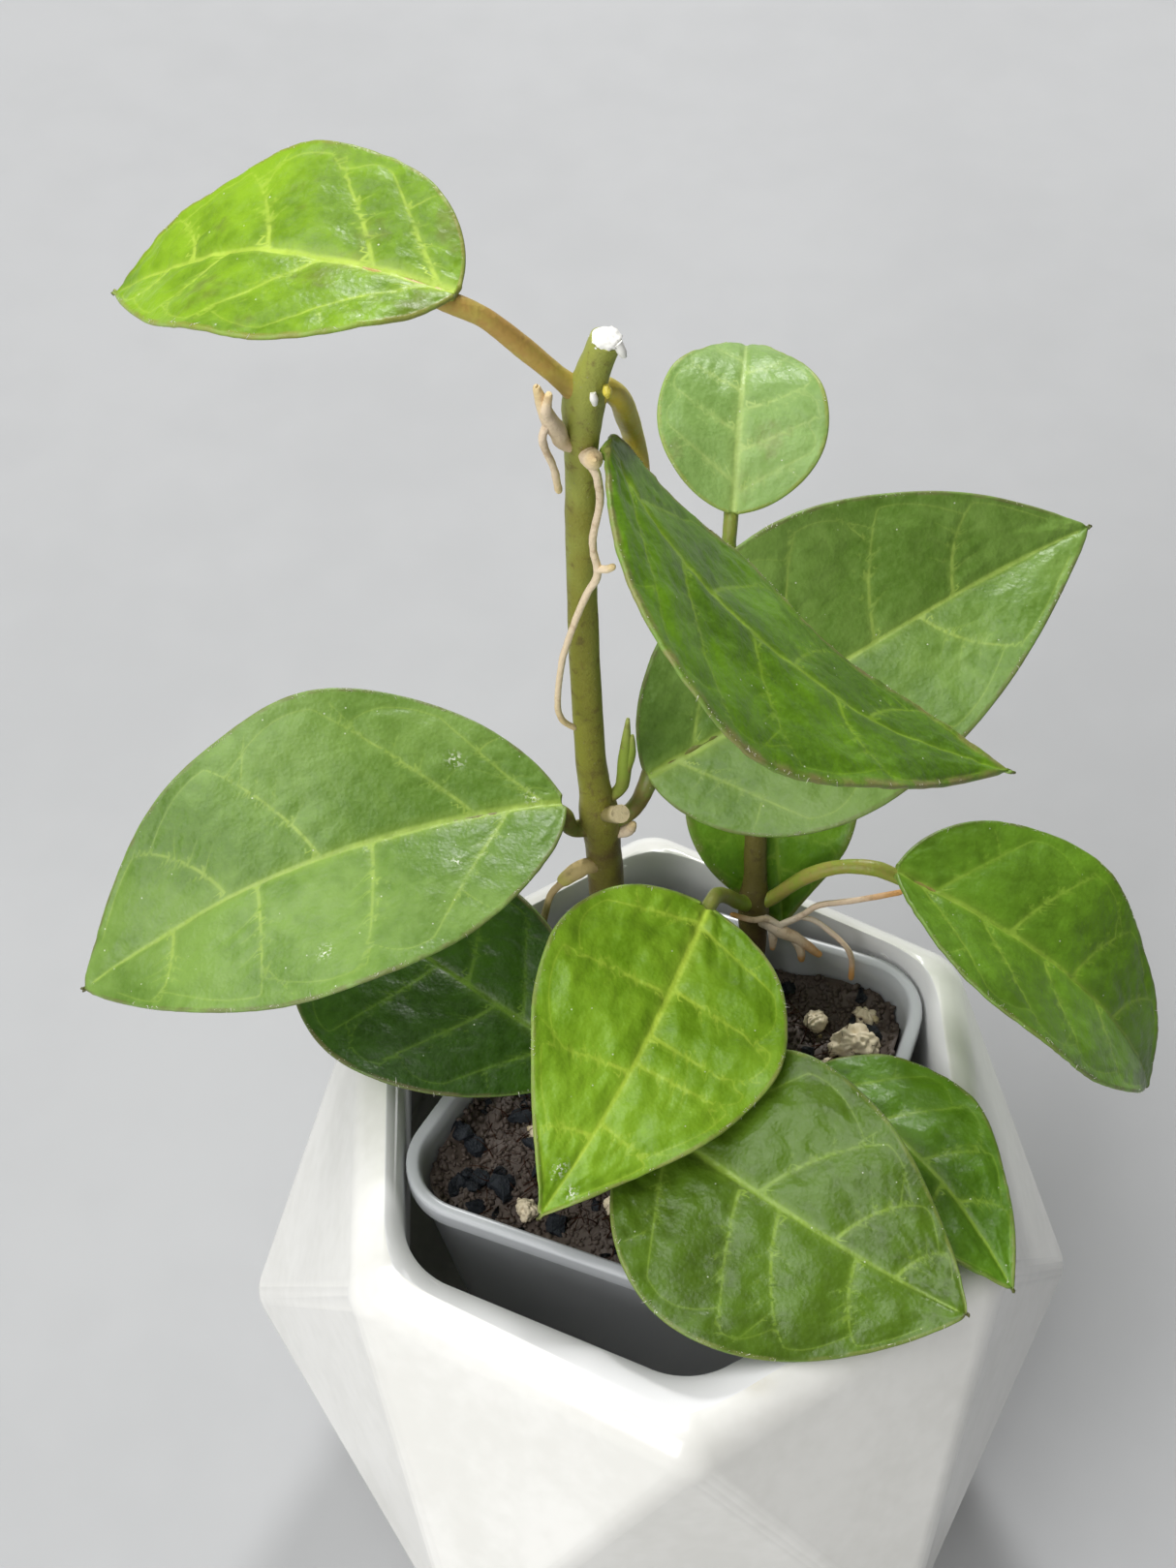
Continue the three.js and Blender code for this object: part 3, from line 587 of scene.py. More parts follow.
@dataclass(frozen=True)
class LeafSkin:
    """Waxy skin of a leaf: veins, margin, underside and stalk each have a colour."""

    name: str
    deep: str
    fresh: str
    vein: str
    margin: str
    under: str
    stalk: str
    stalk_warm: str
    vein_show: float = 0.7
    roughness: float = 0.38
    dust: float = 0.16
    bruise: str = "4E5A1A"
    bruise_share: float = 0.0
    margin_width: float = 0.4
    margin_show: float = 0.6

    def material(self) -> Material:
        """Builds the material."""
        made = Surface(self.name, IOR=1.48, Specular_IOR_Level=0.42, Subsurface_Weight=0.06,
                       Subsurface_Scale=MM)
        made.shader.inputs["Subsurface Radius"].default_value = (0.7, 1.0, 0.3)
        graph = made.graph
        body = made.effect(Effect.MOTTLE, first=paint(self.deep), second=paint(self.fresh), scale=0.06)
        main = made.effect(Effect.VEIN, side=graph.attribute("vein"), gap=graph.attribute("vein_gap"),
                           rank=graph.attribute("vein_rank"))
        cells = graph.noise(made.place, 1.1, 4.0, 0.6)
        grains = graph.add("ShaderNodeTexVoronoi", {"Vector": made.place, "Scale": 1.7}).outputs["Distance"]
        tissue = graph.times(graph.ease(cells, 0.42, 0.62), 0.22)
        colour = graph.blend(tissue, body.outputs["Colour"], paint(self.fresh))
        blotch = graph.ease(graph.noise(made.place, 0.13, 4.0, 0.6), 0.56, 0.7, 0.0, self.bruise_share)
        colour = graph.blend(blotch, colour, paint(self.bruise))
        patchy = graph.ease(graph.noise(made.place, 0.3, 2.0), 0.35, 0.65, 0.6, 1.0)
        halo = graph.times(main.outputs["Halo"], 0.3 * self.vein_show)
        line = graph.times(graph.times(main.outputs["Line"], patchy), self.vein_show)
        for share in (halo, line):
            colour = graph.blend(share, colour, paint(self.vein))
        back = graph.blend(graph.times(main.outputs["Halo"], 0.4), paint(self.under), paint(self.vein))
        colour = graph.blend(graph.attribute("top"), back, colour)
        edge = graph.ease(graph.attribute("rim"), 0.05, self.margin_width, self.margin_show, 0.0)
        ragged = graph.ease(graph.noise(made.place, 0.35, 3.0), 0.35, 0.62, 0.15, 1.0)
        colour = graph.blend(graph.times(edge, ragged), colour, paint(self.margin))
        tip = graph.ease(graph.attribute("along"), 0.985, 0.998, 0.0, 0.7)
        colour = graph.blend(tip, colour, paint("4A3A22"))
        shoot = made.effect(Effect.MOTTLE, first=paint(self.stalk), second=paint(self.stalk_warm), scale=0.2)
        colour = graph.blend(graph.attribute("stalk"), colour, shoot.outputs["Colour"])
        dust = made.effect(Effect.SPECKS, scale=0.75, amount=self.dust, size=0.1)
        chalk = graph.ease(graph.noise(made.place, 2.4, 3.0), 0.5, 0.6)
        chalk = graph.times(graph.attribute("chalk"), chalk)
        pale = graph.math("MAXIMUM", graph.times(dust.outputs["Mask"], 0.6), chalk)
        colour = graph.blend(pale, colour, paint("E2E8D4"))
        rough = graph.ease(cells, 0.3, 0.7, self.roughness, self.roughness + 0.12)
        made.wire(Base_Color=colour, Roughness=rough)
        height = graph.math("ADD", graph.times(cells, 0.8), graph.times(grains, 0.5))
        made.relief(height, 0.09)
        return made.material


class Finish(Enum):
    """Every finish on the plant and its pots."""

    GLAZE = Glaze()
    PLASTIC = MilkyPlastic()
    # Partly painted shade: the mix's own dark colour is pushed close to black, standing for the shade it lies
    # in inside the pot.
    SOIL = Earth("soil", "030202", "0C0806")
    CHARCOAL = Earth("charcoal", "0A0B0E", "2A2E33", 0.6)
    # Partly painted shade: the coir's colours are darkened towards black in the same way as the soil's.
    COIR = Earth("coir", "0E0704", "3A2012")
    CRUMB = Earth("pale_crumb", "8C7A55", "CDBE97")
    FUZZ = Earth("margin_fuzz", "C9C4AA", "F0EEE0", 0.8)
    PUMICE = Pumice()
    MAIN_STEM = Bark("stem_bark", "665434", "8C8A38", "9AA04A", "665034")
    REAR_STEM = Bark("rear_stem_bark", "544228", "6E6630", "82903A", "483A24")
    AERIAL_ROOT = Bark("aerial_root", "EBD6BA", "EED9BA", "E4CC9A", "BC9C78", 0.1, 0.75, 0.14)
    CLUSTER_ROOT = Bark("cluster_root", "F0DECA", "EAD0B4", "D49C5C", "B8946E", 0.15, 0.75, 0.16)
    SOIL_ROOT = Bark("soil_root", "C8AE80", "D4BC84", "CEC46A", "9C8658", 0.1, 0.7, 0.12)
    SHOOT = Bark("shoot", "8A8048", "92A644", "A2AC58", "7A7040", 0.1, 0.45, 0.06)
    STUB = Bark("pruned_stub", "6E6A3A", "8A7F50", "C9BA92", "5C4F34", 0.1, 0.6, 0.1)
    DRIED_SAP = Latex("dried_sap", "F6F5EE", "DAD8CC")
    YELLOW_SAP = Latex("yellow_sap", "D9C62E", "E6DA66", 0.2)
    YOUNG_LEAF = LeafSkin("young_leaf", "62860E", "88B01E", "C4DC58", "8E8440", "A5C163", "BAA652", "B8944E",
                          0.85, bruise="66702A", bruise_share=0.6)
    ROUND_LEAF = LeafSkin("round_leaf", "7A9C4C", "94B664", "BCD27A", "9AA048", "A5C163", "7E9A34", "8A8A40",
                          0.7, bruise="80784C", bruise_share=0.4)
    FRESH_LEAF = LeafSkin("fresh_leaf", "668E0C", "84AC24", "C0D84C", "8A8450", "8DB058", "8EA63A", "96984A",
                          0.8)
    RIGHT_LEAF = LeafSkin("right_leaf", "527612", "6C9820", "A8C848", "6C6A38", "8DB058", "98A840", "A89C50",
                          0.7)
    # Painted shade: this leaf's deep and fresh colours are made darker than its own green, standing for the
    # shade that the leaf above casts on it.
    DEEP_LEAF = LeafSkin("deep_leaf", "223E04", "365A0C", "80A438", "6E6444", "7FA04E", "7E7A38", "8E7E4A",
                         0.5)
    # Painted light: the deep and fresh colours are brighter and more saturated than the leaf's own, standing
    # for light that shines through this leaf, which faces away from the lamp overhead.
    HANGING_LEAF = LeafSkin("hanging_leaf", "466A04", "649008", "A8CC3C", "9A7660", "7FA04E", "C8BC54",
                            "CCB448", 0.55, margin_width=1.5, margin_show=0.45)
    REAR_LEAF = LeafSkin("rear_leaf", "568812", "76A624", "A8CC50", "9A8660", "7FA04E", "9A9A40", "A89A3C",
                         0.6, margin_width=1.2, margin_show=0.45)
    LOW_LEAF = LeafSkin("low_leaf", "40580E", "567618", "9CBA48", "7E8644", "7FA04E", "5C7030", "7E6E40",
                        0.8, 0.32)
    EDGE_LEAF = LeafSkin("edge_leaf", "466C08", "5E8A16", "9CBC40", "7E8644", "7FA04E", "5C7030", "7E6E40",
                         0.75)
    # Partly painted sheen: the pale grey-green deep and fresh colours add the grey sheen these two lower
    # leaves show to their own green.
    DULL_LEAF = LeafSkin("dull_leaf", "5C7E2A", "7A9A46", "B4CC60", "6E6844", "8BAA5C", "74823A", "7E6E40",
                         0.7)

    def material(self) -> Material:
        """The finish's material, built the first time it is asked for."""
        return bpy.data.materials.get(self.value.name) or self.value.material()


# ---------------------------------------------------------------- geometry trees


def apply_tree(host: Piece, builder: Builder, **values: Any) -> Piece:
    """Runs a geometry tree on an object and leaves a plain mesh.

    Args:
        host: the object whose geometry the tree starts from.
        builder: the function that builds the tree.
        values: the tree's inputs, with underscores for spaces.

    Returns:
        The plain mesh object that takes the host's place.
    """
    tree = built(builder)
    modifier = host.modifiers.new(tree.name, "NODES")
    modifier.node_group = tree
    for item in tree.interface.items_tree:
        label = item.name.replace(" ", "_").lower()
        if item.in_out == "INPUT" and label in values:
            modifier[item.identifier] = values[label]
    return settle(host)


def close_tree(graph: Graph, geometry: Any, material: Any, smooth: Any = True) -> Tree:
    """Ends a geometry tree: real geometry, shaded smooth or faceted, with its material."""
    real = graph.add("GeometryNodeRealizeInstances", {0: geometry})
    soft = graph.add("GeometryNodeSetShadeSmooth", {0: real, "Shade Smooth": smooth})
    dressed = graph.add("GeometryNodeSetMaterial", {"Geometry": soft, "Material": material})
    graph.add("NodeGroupOutput", {0: dressed})
    return graph.tree


def hull_tree() -> Tree:
    """The convex body round three six-cornered rings of balls: crest, belt and foot."""
    inputs: dict[str, Any] = {"Geometry": "Geometry", "Turn": 0.0, "Material": "Material"}
    for ring in ("Crest", "Belt", "Foot"):
        inputs |= {f"{ring} Radius": 0.04, f"{ring} Height": 0.05, f"{ring} Rounding": 0.005}
    graph, given = new_group("GeometryNodeTree", "Rounded hull", inputs, {"Geometry": "Geometry"})
    joined = graph.add("GeometryNodeJoinGeometry")
    for ring, half_step in (("Crest", 0.0), ("Belt", math.pi / 6), ("Foot", 0.0)):
        circle = graph.add("GeometryNodeMeshCircle", {"Vertices": 6, "Radius": given[f"{ring} Radius"]})
        angle = graph.math("ADD", given["Turn"], half_step)
        spin = graph.add("ShaderNodeCombineXYZ", {2: angle})
        lift = graph.add("ShaderNodeCombineXYZ", {2: given[f"{ring} Height"]})
        moved = {"Geometry": circle, "Translation": lift, "Rotation": spin}
        placed = graph.add("GeometryNodeTransform", moved)
        sizes = {"Segments": 48, "Rings": 32, "Radius": given[f"{ring} Rounding"]}
        ball = graph.add("GeometryNodeMeshUVSphere", sizes)
        balls = graph.add("GeometryNodeInstanceOnPoints", {"Points": placed, "Instance": ball})
        graph.tree.links.new(balls.outputs[0], joined.inputs[0])
    real = graph.add("GeometryNodeRealizeInstances", {0: joined})
    hull = graph.add("GeometryNodeConvexHull", {0: real})
    return close_tree(graph, hull, given["Material"])


def strand_tree() -> Tree:
    """A round strand along a curve, as thick as the curve's radius, with a lumpy skin."""
    inputs = {"Geometry": "Geometry", "Sides": 12, "Lump": 0.0001, "Lump Scale": 600.0, "Stalk": 0.0,
              "Material": "Material"}
    graph, given = new_group("GeometryNodeTree", "Strand", inputs, {"Geometry": "Geometry"})
    share = graph.add("GeometryNodeSplineParameter").outputs["Factor"]
    marked = graph.add("GeometryNodeStoreNamedAttribute",
                       {"Geometry": given["Geometry"], "Name": "along", "Value": share})
    section = graph.add("GeometryNodeCurvePrimitiveCircle", {"Resolution": given["Sides"], "Radius": 1.0})
    width = graph.add("GeometryNodeInputRadius")
    skin = graph.add("GeometryNodeCurveToMesh", {"Curve": marked, "Profile Curve": section, "Scale": width,
                                                 "Fill Caps": True})
    where = graph.add("GeometryNodeInputPosition")
    height = graph.math("SUBTRACT", graph.noise(where, given["Lump Scale"], 2.0), 0.5)
    push = graph.times(height, given["Lump"])
    normal = graph.add("GeometryNodeInputNormal")
    out = graph.add("ShaderNodeVectorMath", {0: normal, "Scale": push}, operation="SCALE")
    lumpy = graph.add("GeometryNodeSetPosition", {"Geometry": skin, "Offset": out})
    tagged = graph.add("GeometryNodeStoreNamedAttribute",
                       {"Geometry": lumpy, "Name": "stalk", "Value": given["Stalk"]})
    return close_tree(graph, tagged, given["Material"])


def scatter(graph: Graph, given: dict[str, Socket], instance: Node, tilt: Any) -> Node:
    """Strews an instance over the faces, turned and sized at random, each with its own tint.

    Args:
        graph: the tree.
        given: its inputs, with Geometry, Density, Smallest, Largest and Seed.
        instance: the shape to strew.
        tilt: how far it may lean from the face's normal, in radians.

    Returns:
        The node that gives the strewn shapes.
    """
    seed = given["Seed"]
    weight = graph.add("GeometryNodeInputNamedAttribute", {"Name": "cover"}).outputs[0]
    density = graph.times(given["Density"], weight)
    spots = graph.add("GeometryNodeDistributePointsOnFaces",
                      {"Mesh": given["Geometry"], "Density": density, "Seed": seed})
    back = graph.times(tilt, -1.0)
    low = graph.add("ShaderNodeCombineXYZ", {0: back, 1: back, 2: -math.pi})
    high = graph.add("ShaderNodeCombineXYZ", {0: tilt, 1: tilt, 2: math.pi})
    lean = graph.add("FunctionNodeRandomValue", {0: low, 1: high, "Seed": seed}, data_type="FLOAT_VECTOR")
    turn = graph.add("FunctionNodeRotateRotation", {0: spots.outputs["Rotation"], 1: lean},
                     rotation_space="LOCAL")
    limits = {2: given["Smallest"], 3: given["Largest"], "Seed": seed}
    size = graph.add("FunctionNodeRandomValue", limits, data_type="FLOAT").outputs[1]
    placed = {"Points": spots.outputs[0], "Instance": instance, "Rotation": turn, "Scale": size}
    strewn = graph.add("GeometryNodeInstanceOnPoints", placed)
    draw = graph.add("FunctionNodeRandomValue", {"Seed": seed}, data_type="FLOAT").outputs[1]
    return graph.add("GeometryNodeStoreNamedAttribute",
                     {"Geometry": strewn, "Name": "tint", "Value": draw}, domain="INSTANCE")


def grain_tree() -> Tree:
    """Rough grains strewn over a surface, such as crumbs of soil, bark and charcoal."""
    inputs = {"Geometry": "Geometry", "Density": 1e5, "Smallest": 0.001, "Largest": 0.002, "Flatness": 0.7,
              "Lump Scale": 900.0, "Detail": 1, "Smooth": True, "Seed": 1, "Material": "Material"}
    graph, given = new_group("GeometryNodeTree", "Grains", inputs, {"Geometry": "Geometry"})
    ball = graph.add("GeometryNodeMeshIcoSphere", {"Radius": 0.5, "Subdivisions": given["Detail"]})
    flat = graph.add("ShaderNodeCombineXYZ", {0: 1.0, 1: 0.75, 2: given["Flatness"]})
    chip = graph.add("GeometryNodeTransform", {"Geometry": ball, "Scale": flat})
    strewn = scatter(graph, given, chip, 0.9)
    real = graph.add("GeometryNodeRealizeInstances", {0: strewn})
    where = graph.add("GeometryNodeInputPosition")
    texture = {"Vector": where, "Scale": given["Lump Scale"], "Detail": 2.0}
    lumps = graph.add("ShaderNodeTexNoise", texture).outputs["Color"]
    centred = graph.add("ShaderNodeVectorMath", {0: lumps, 1: (0.5, 0.5, 0.5)}, operation="SUBTRACT")
    reach = graph.times(given["Largest"], 0.9)
    push = graph.add("ShaderNodeVectorMath", {0: centred, "Scale": reach}, operation="SCALE")
    rough = graph.add("GeometryNodeSetPosition", {"Geometry": real, "Offset": push})
    return close_tree(graph, rough, given["Material"], given["Smooth"])


def hair_tree() -> Tree:
    """Thin bent hairs or fibres that stand on a surface."""
    inputs = {"Geometry": "Geometry", "Density": 1e5, "Smallest": 0.0003, "Largest": 0.0006,
              "Thickness": 0.03, "Tilt": 0.6, "Seed": 1, "Material": "Material"}
    graph, given = new_group("GeometryNodeTree", "Hairs", inputs, {"Geometry": "Geometry"})
    bends = {"Resolution": 4, "Start": (0.0, 0.0, -0.05), "Middle": (0.05, 0.0, 0.5), "End": (0.4, 0.1, 0.85)}
    line = graph.add("GeometryNodeCurveQuadraticBezier", bends)
    section = graph.add("GeometryNodeCurvePrimitiveCircle", {"Resolution": 3, "Radius": 1.0})
    share = graph.add("GeometryNodeSplineParameter").outputs["Factor"]
    taper = graph.times(given["Thickness"], graph.math("SUBTRACT", 1.15, share))
    hair = graph.add("GeometryNodeCurveToMesh", {"Curve": line, "Profile Curve": section, "Scale": taper,
                                                 "Fill Caps": True})
    strewn = scatter(graph, given, hair, given["Tilt"])
    return close_tree(graph, strewn, given["Material"])


def strand(name: str, stations: Iterable[Station], finish: Finish, sides: int = 12, lump: float = 0.1,
           lump_scale: float = 0.6, stalk: float = 0.0) -> Piece:
    """Makes a round strand through stations.

    Args:
        name: the object's name.
        stations: x, y, z and radius at points along the strand.
        finish: its skin.
        sides: points round the strand.
        lump: height of the skin's lumps.
        lump_scale: lumps per millimetre.
        stalk: what the material's stalk mask says on this strand.

    Returns:
        A plain mesh object.
    """
    rows = smooth_path(stations, 6)
    curve = bpy.data.curves.new(name, "CURVE")
    curve.dimensions = "3D"
    spline = curve.splines.new("POLY")
    spline.points.add(len(rows) - 1)
    for point, (x, y, z, radius) in zip(spline.points, rows):
        point.co = (x * MM, y * MM, z * MM, 1.0)
        point.radius = max(radius, 0.05) * MM
    return apply_tree(new_object(name, curve), strand_tree, sides=sides, lump=lump * MM,
                      lump_scale=lump_scale / MM, stalk=stalk, material=finish.material())


# ---------------------------------------------------------------- planter


@dataclass(frozen=True)
class Ring:
    """Six ball-rounded corners of the planter's form."""

    radius: float
    height: float
    rounding: float


@dataclass(frozen=True)
class MouthLine:
    """A six-sided line with round corners round the planter's mouth."""

    radius: float
    rounding: float
    middle: tuple[float, float] = (0.0, 0.0)
    front_step: float = 0.0

    def points(self, turn: float, arc_steps: int = 12) -> np.ndarray:
        """The line's points, anticlockwise from the front corner.

        Args:
            turn: how far the six sides are turned, in degrees.
            arc_steps: stretches round each corner.

        Returns:
            One row of x and y for each point.
        """
        reach = self.radius - self.rounding / math.cos(math.radians(30))
        points = []
        for corner in range(6):
            towards = turn + FRONT + corner * SIXTH
            centre = np.array(self.middle) + reach * np.array(turned(towards))
            centre[1] += 0.0 if corner else self.front_step
            for k in range(arc_steps + 1):
                out = np.array(turned(towards - SIXTH / 2 + SIXTH * k / arc_steps))
                points.append(centre + self.rounding * out)
        return np.array(points)


@dataclass
class Planter:
    """White ceramic planter: twelve triangular facets between a rim and a wider belt."""

    turn: float = 1.75
    crest: Ring = Ring(42.0, 78.4, 7.6)
    belt: Ring = Ring(55.5, 35.0, 6.0)
    foot: Ring = Ring(36.0, 4.0, 4.0)
    belly_crest: Ring = Ring(36.0, 74.0, 2.0)
    belly_belt: Ring = Ring(49.5, 35.0, 5.0)
    belly_foot: Ring = Ring(31.0, 10.0, 3.0)
    height: float = 86.0
    narrow: MouthLine = MouthLine(42.4, 11.0, (0.4, 2.2), 2.5)
    lip: MouthLine = MouthLine(46.0, 15.0)
    lip_depth: float = 5.0

    def hull(self, name: str, crest: Ring, belt: Ring, foot: Ring) -> Piece:
        """Builds the convex body round three rings."""
        values = {"turn": math.radians(self.turn + FRONT)}
        for label, ring in (("crest", crest), ("belt", belt), ("foot", foot)):
            values |= {f"{label}_radius": ring.radius * MM, f"{label}_height": ring.height * MM,
                       f"{label}_rounding": ring.rounding * MM}
        host = mesh_object(name, np.zeros((1, 3)), [])
        return apply_tree(host, hull_tree, material=Finish.GLAZE.material(), **values)

    def neck(self) -> Piece:
        """The solid that is taken out of the mouth, with the lip's inner half."""
        narrow, lip = self.narrow.points(self.turn), self.lip.points(self.turn)
        levels = [(0.0, self.belt.height)]
        for angle in range(0, 90, 6):
            cosine, sine = turned(angle)
            levels.append((1 - cosine, self.height - self.lip_depth * (1 - sine)))
        levels.append((1.0, self.height + 1))
        rings = [at_height(narrow + (lip - narrow) * share, z) for share, z in levels]
        return mesh_object("neck", *loft(rings))

    def build(self) -> None:
        """Makes the planter and takes its inside out."""
        shell = self.hull("planter_glazed", self.crest, self.belt, self.foot)
        belly = self.hull("belly", self.belly_crest, self.belly_belt, self.belly_foot)
        for cutter in (self.neck(), belly):
            cut = shell.modifiers.new(cutter.name, "BOOLEAN")
            cut.operation = "DIFFERENCE"
            cut.solver = "EXACT"
            cut.object = cutter
        shell = settle(shell)
        for name in ("neck", "belly"):
            bpy.data.objects.remove(bpy.data.objects[name])
        self.even_shading(shell)
        publish(shell, "glazed_white", "planter")

    def even_shading(self, shell: Piece) -> None:
        """Gives the outside the exact normals of its balls, so that long thin faces don't show."""
        points = np.array([vertex.co for vertex in shell.data.vertices]) / MM
        normals = np.zeros_like(points)
        for ring, half_step in ((self.crest, 0), (self.belt, SIXTH / 2), (self.foot, 0)):
            for corner in range(6):
                cosine, sine = turned(self.turn + FRONT + half_step + SIXTH * corner)
                away = points - (ring.radius * cosine, ring.radius * sine, ring.height)
                gap = np.linalg.norm(away, axis=1)
                near = np.abs(gap - ring.rounding) < 0.01
                normals[near] = away[near] / gap[near, None]
        shell.data.normals_split_custom_set_from_vertices(normals.tolist())


# ---------------------------------------------------------------- grow pot and soil


@dataclass
class PotOutline:
    """The square grow pot's outline, pressed in at its back corner."""

    corners: tuple[tuple[float, float], ...] = ((-26.8, -5.8), (12.8, -21.0), (27.2, 18.1), (-4.9, 29.4))
    corner_radius: float = 9.0
    rim_height: float = 83.5
    underside: float = 7.3
    bottom_scale: float = 0.72

    def scale(self, z: float) -> float:
        """How far the pot's wall is drawn in at a height."""
        share = (z - self.underside) / (self.rim_height - self.underside)
        return self.bottom_scale + (1 - self.bottom_scale) * share

    def middle(self) -> np.ndarray:
        """The middle of the four corners."""
        return np.mean(np.array(self.corners), axis=0)

    def ring(self, z: float, inset: float, scale: float, arc_steps: int = 12,
             side_steps: int = 10) -> np.ndarray:
        """The outline at one height.

        Args:
            z: the height.
            inset: how far in from the wall.
            scale: how far the corners are drawn in.
            arc_steps: stretches round each corner.
            side_steps: stretches along each side.

        Returns:
            The outline's points, anticlockwise.
        """
        middle = self.middle()
        places = middle + (np.array(self.corners) - middle) * scale
        radius = self.corner_radius * scale - inset
        points = []
        for i in range(4):
            place, before, after = places[i], places[i - 1], places[(i + 1) % 4]
            start = math.atan2(*(place - before)[::-1]) - math.pi / 2
            end = math.atan2(*(after - place)[::-1]) - math.pi / 2
            sweep = (end - start) % (2 * math.pi)
            angles = start + sweep * np.arange(arc_steps + 1) / arc_steps
            arc = place + radius * np.stack([np.cos(angles), np.sin(angles)], axis=1)
            side = arc[-1] + (after - place) * (np.arange(1, side_steps) / side_steps)[:, None]
            points.append(np.vstack([arc, side]))
        return at_height(np.vstack(points), z)


@dataclass
class GrowPot:
    """Thin milky plastic pot with a rim band."""

    outline: PotOutline
    band: float = 3.2
    step: float = 0.8
    wall: float = 1.0

    def build(self) -> None:
        """Makes the pot as one closed wall, outside and inside."""
        scale, step = self.outline.scale, self.step
        top, foot = self.outline.rim_height, self.outline.underside
        band, inner = top - self.band, step + self.wall
        rows = [(foot, 1.2, scale(foot)), (foot + 0.3, 0.4, scale(foot)), (foot + 1.2, 0.0, scale(foot + 1))]
        rows += [(z, step, scale(z)) for z in np.linspace(foot + 6, band - 1.2, 12)]
        rows += [(band - 0.5, step, scale(band)), (band - 0.1, step * 0.6, scale(band) + 0.003)]
        rows += [(band + 0.15, 0.08, 1.0), (band + 0.5, 0.0, 1.0), (top - 0.5, 0.0, 1.0)]
        rows += [(top - 0.15, 0.1, 1.0), (top, 0.4, 1.0), (top, inner - 0.4, 1.0)]
        rows += [(top - 0.2, inner, 1.0), (band, inner, scale(band))]
        rows += [(foot + 3, inner, scale(foot + 2)), (foot + 1.4, self.wall + 1.5, scale(foot))]
        wall = loft([self.outline.ring(*row) for row in rows])
        piece = mesh_object("grow_pot_plastic", *wall, Finish.PLASTIC.material())
        publish(piece, "milky_plastic", "grow_pot")


@dataclass
class SoilBed:
    """Dark potting mix: a lumpy bed with grains, fibres and pale crumbs strewn on it."""

    outline: PotOutline
    level: float = 77.0
    relief: float = 1.6
    inset: float = 2.1
    rings: int = 26
    seed: int = 7

    def top(self) -> tuple[np.ndarray, list[list[int]]]:
        """The bed's upper surface, from its edge in to the middle."""
        edge = self.outline.ring(self.level, self.inset, self.outline.scale(self.level))
        middle = np.append(self.outline.middle(), self.level)
        stack = [edge + (middle - edge) * share for share in np.linspace(0, 0.97, self.rings)]
        points, faces = loft(stack, closed_ends=False)
        x, y = points[:, 0], points[:, 1]
        bumps = 0.6 * smooth_noise(x, y, 6.0, self.seed) + 0.4 * smooth_noise(x, y, 2.2, self.seed + 1)
        fringe = np.repeat(np.exp(-16 * np.linspace(0, 0.97, self.rings)), len(edge))
        fringe *= 0.6 + smooth_noise(x, y, 1.4, self.seed + 2)
        points[:, 2] += self.relief * bumps - 0.4 + 2.2 * fringe
        last = (self.rings - 1) * len(edge)
        faces.append([last + i for i in range(len(edge))])
        return points, faces

    def bed(self) -> Piece:
        """The whole bed as one closed body."""
        points, faces = self.top()
        count = len(self.outline.ring(self.level, 0.0, 1.0))
        foot = self.outline.underside + 2.8
        low = self.outline.ring(foot, self.inset, self.outline.scale(foot))
        start = len(points)
        around = [[start + i, start + (i + 1) % count, (i + 1) % count, i] for i in range(count)]
        around.append([start + i for i in range(count)][::-1])
        closed = np.vstack([points, low])
        return mesh_object("soil_bed", closed, faces + around, Finish.SOIL.material())

    def strewn(self, name: str, tree: Builder, finish: Finish, bare_rings: int,
               values: dict[str, Any]) -> Piece:
        """Strews one kind of grain or fibre over the bed's top, but not on its outermost rings."""
        host = mesh_object(name, *self.top())
        covered = np.arange(self.rings) >= bare_rings
        add_attribute(host, "cover", np.repeat(covered.astype(float), len(host.data.vertices) // self.rings))
        return apply_tree(host, tree, material=finish.material(), **values)

    def build(self) -> None:
        """Makes the bed and what lies on it."""
        publish(self.bed(), "soil", "soil")
        for row in STREWN:
            publish(self.strewn(*row), "soil")


STREWN = (
    ("soil_crumbs", grain_tree, Finish.SOIL, 0,
     {"density": 1.5e6, "smallest": 0.0005, "largest": 0.0015, "flatness": 0.6, "lump_scale": 1200.0,
      "seed": 11}),
    ("soil_charcoal", grain_tree, Finish.CHARCOAL, 0,
     {"density": 4e4, "smallest": 0.0016, "largest": 0.004, "flatness": 0.7, "lump_scale": 420.0, "detail": 2,
      "smooth": False, "seed": 23}),
    ("soil_fibres", hair_tree, Finish.COIR, 4,
     {"density": 6e5, "smallest": 0.002, "largest": 0.006, "thickness": 0.024, "tilt": 1.5, "seed": 31}),
    ("soil_pale_crumbs", grain_tree, Finish.CRUMB, 0,
     {"density": 1.3e4, "smallest": 0.0006, "largest": 0.0016, "flatness": 0.8, "seed": 47}),
)


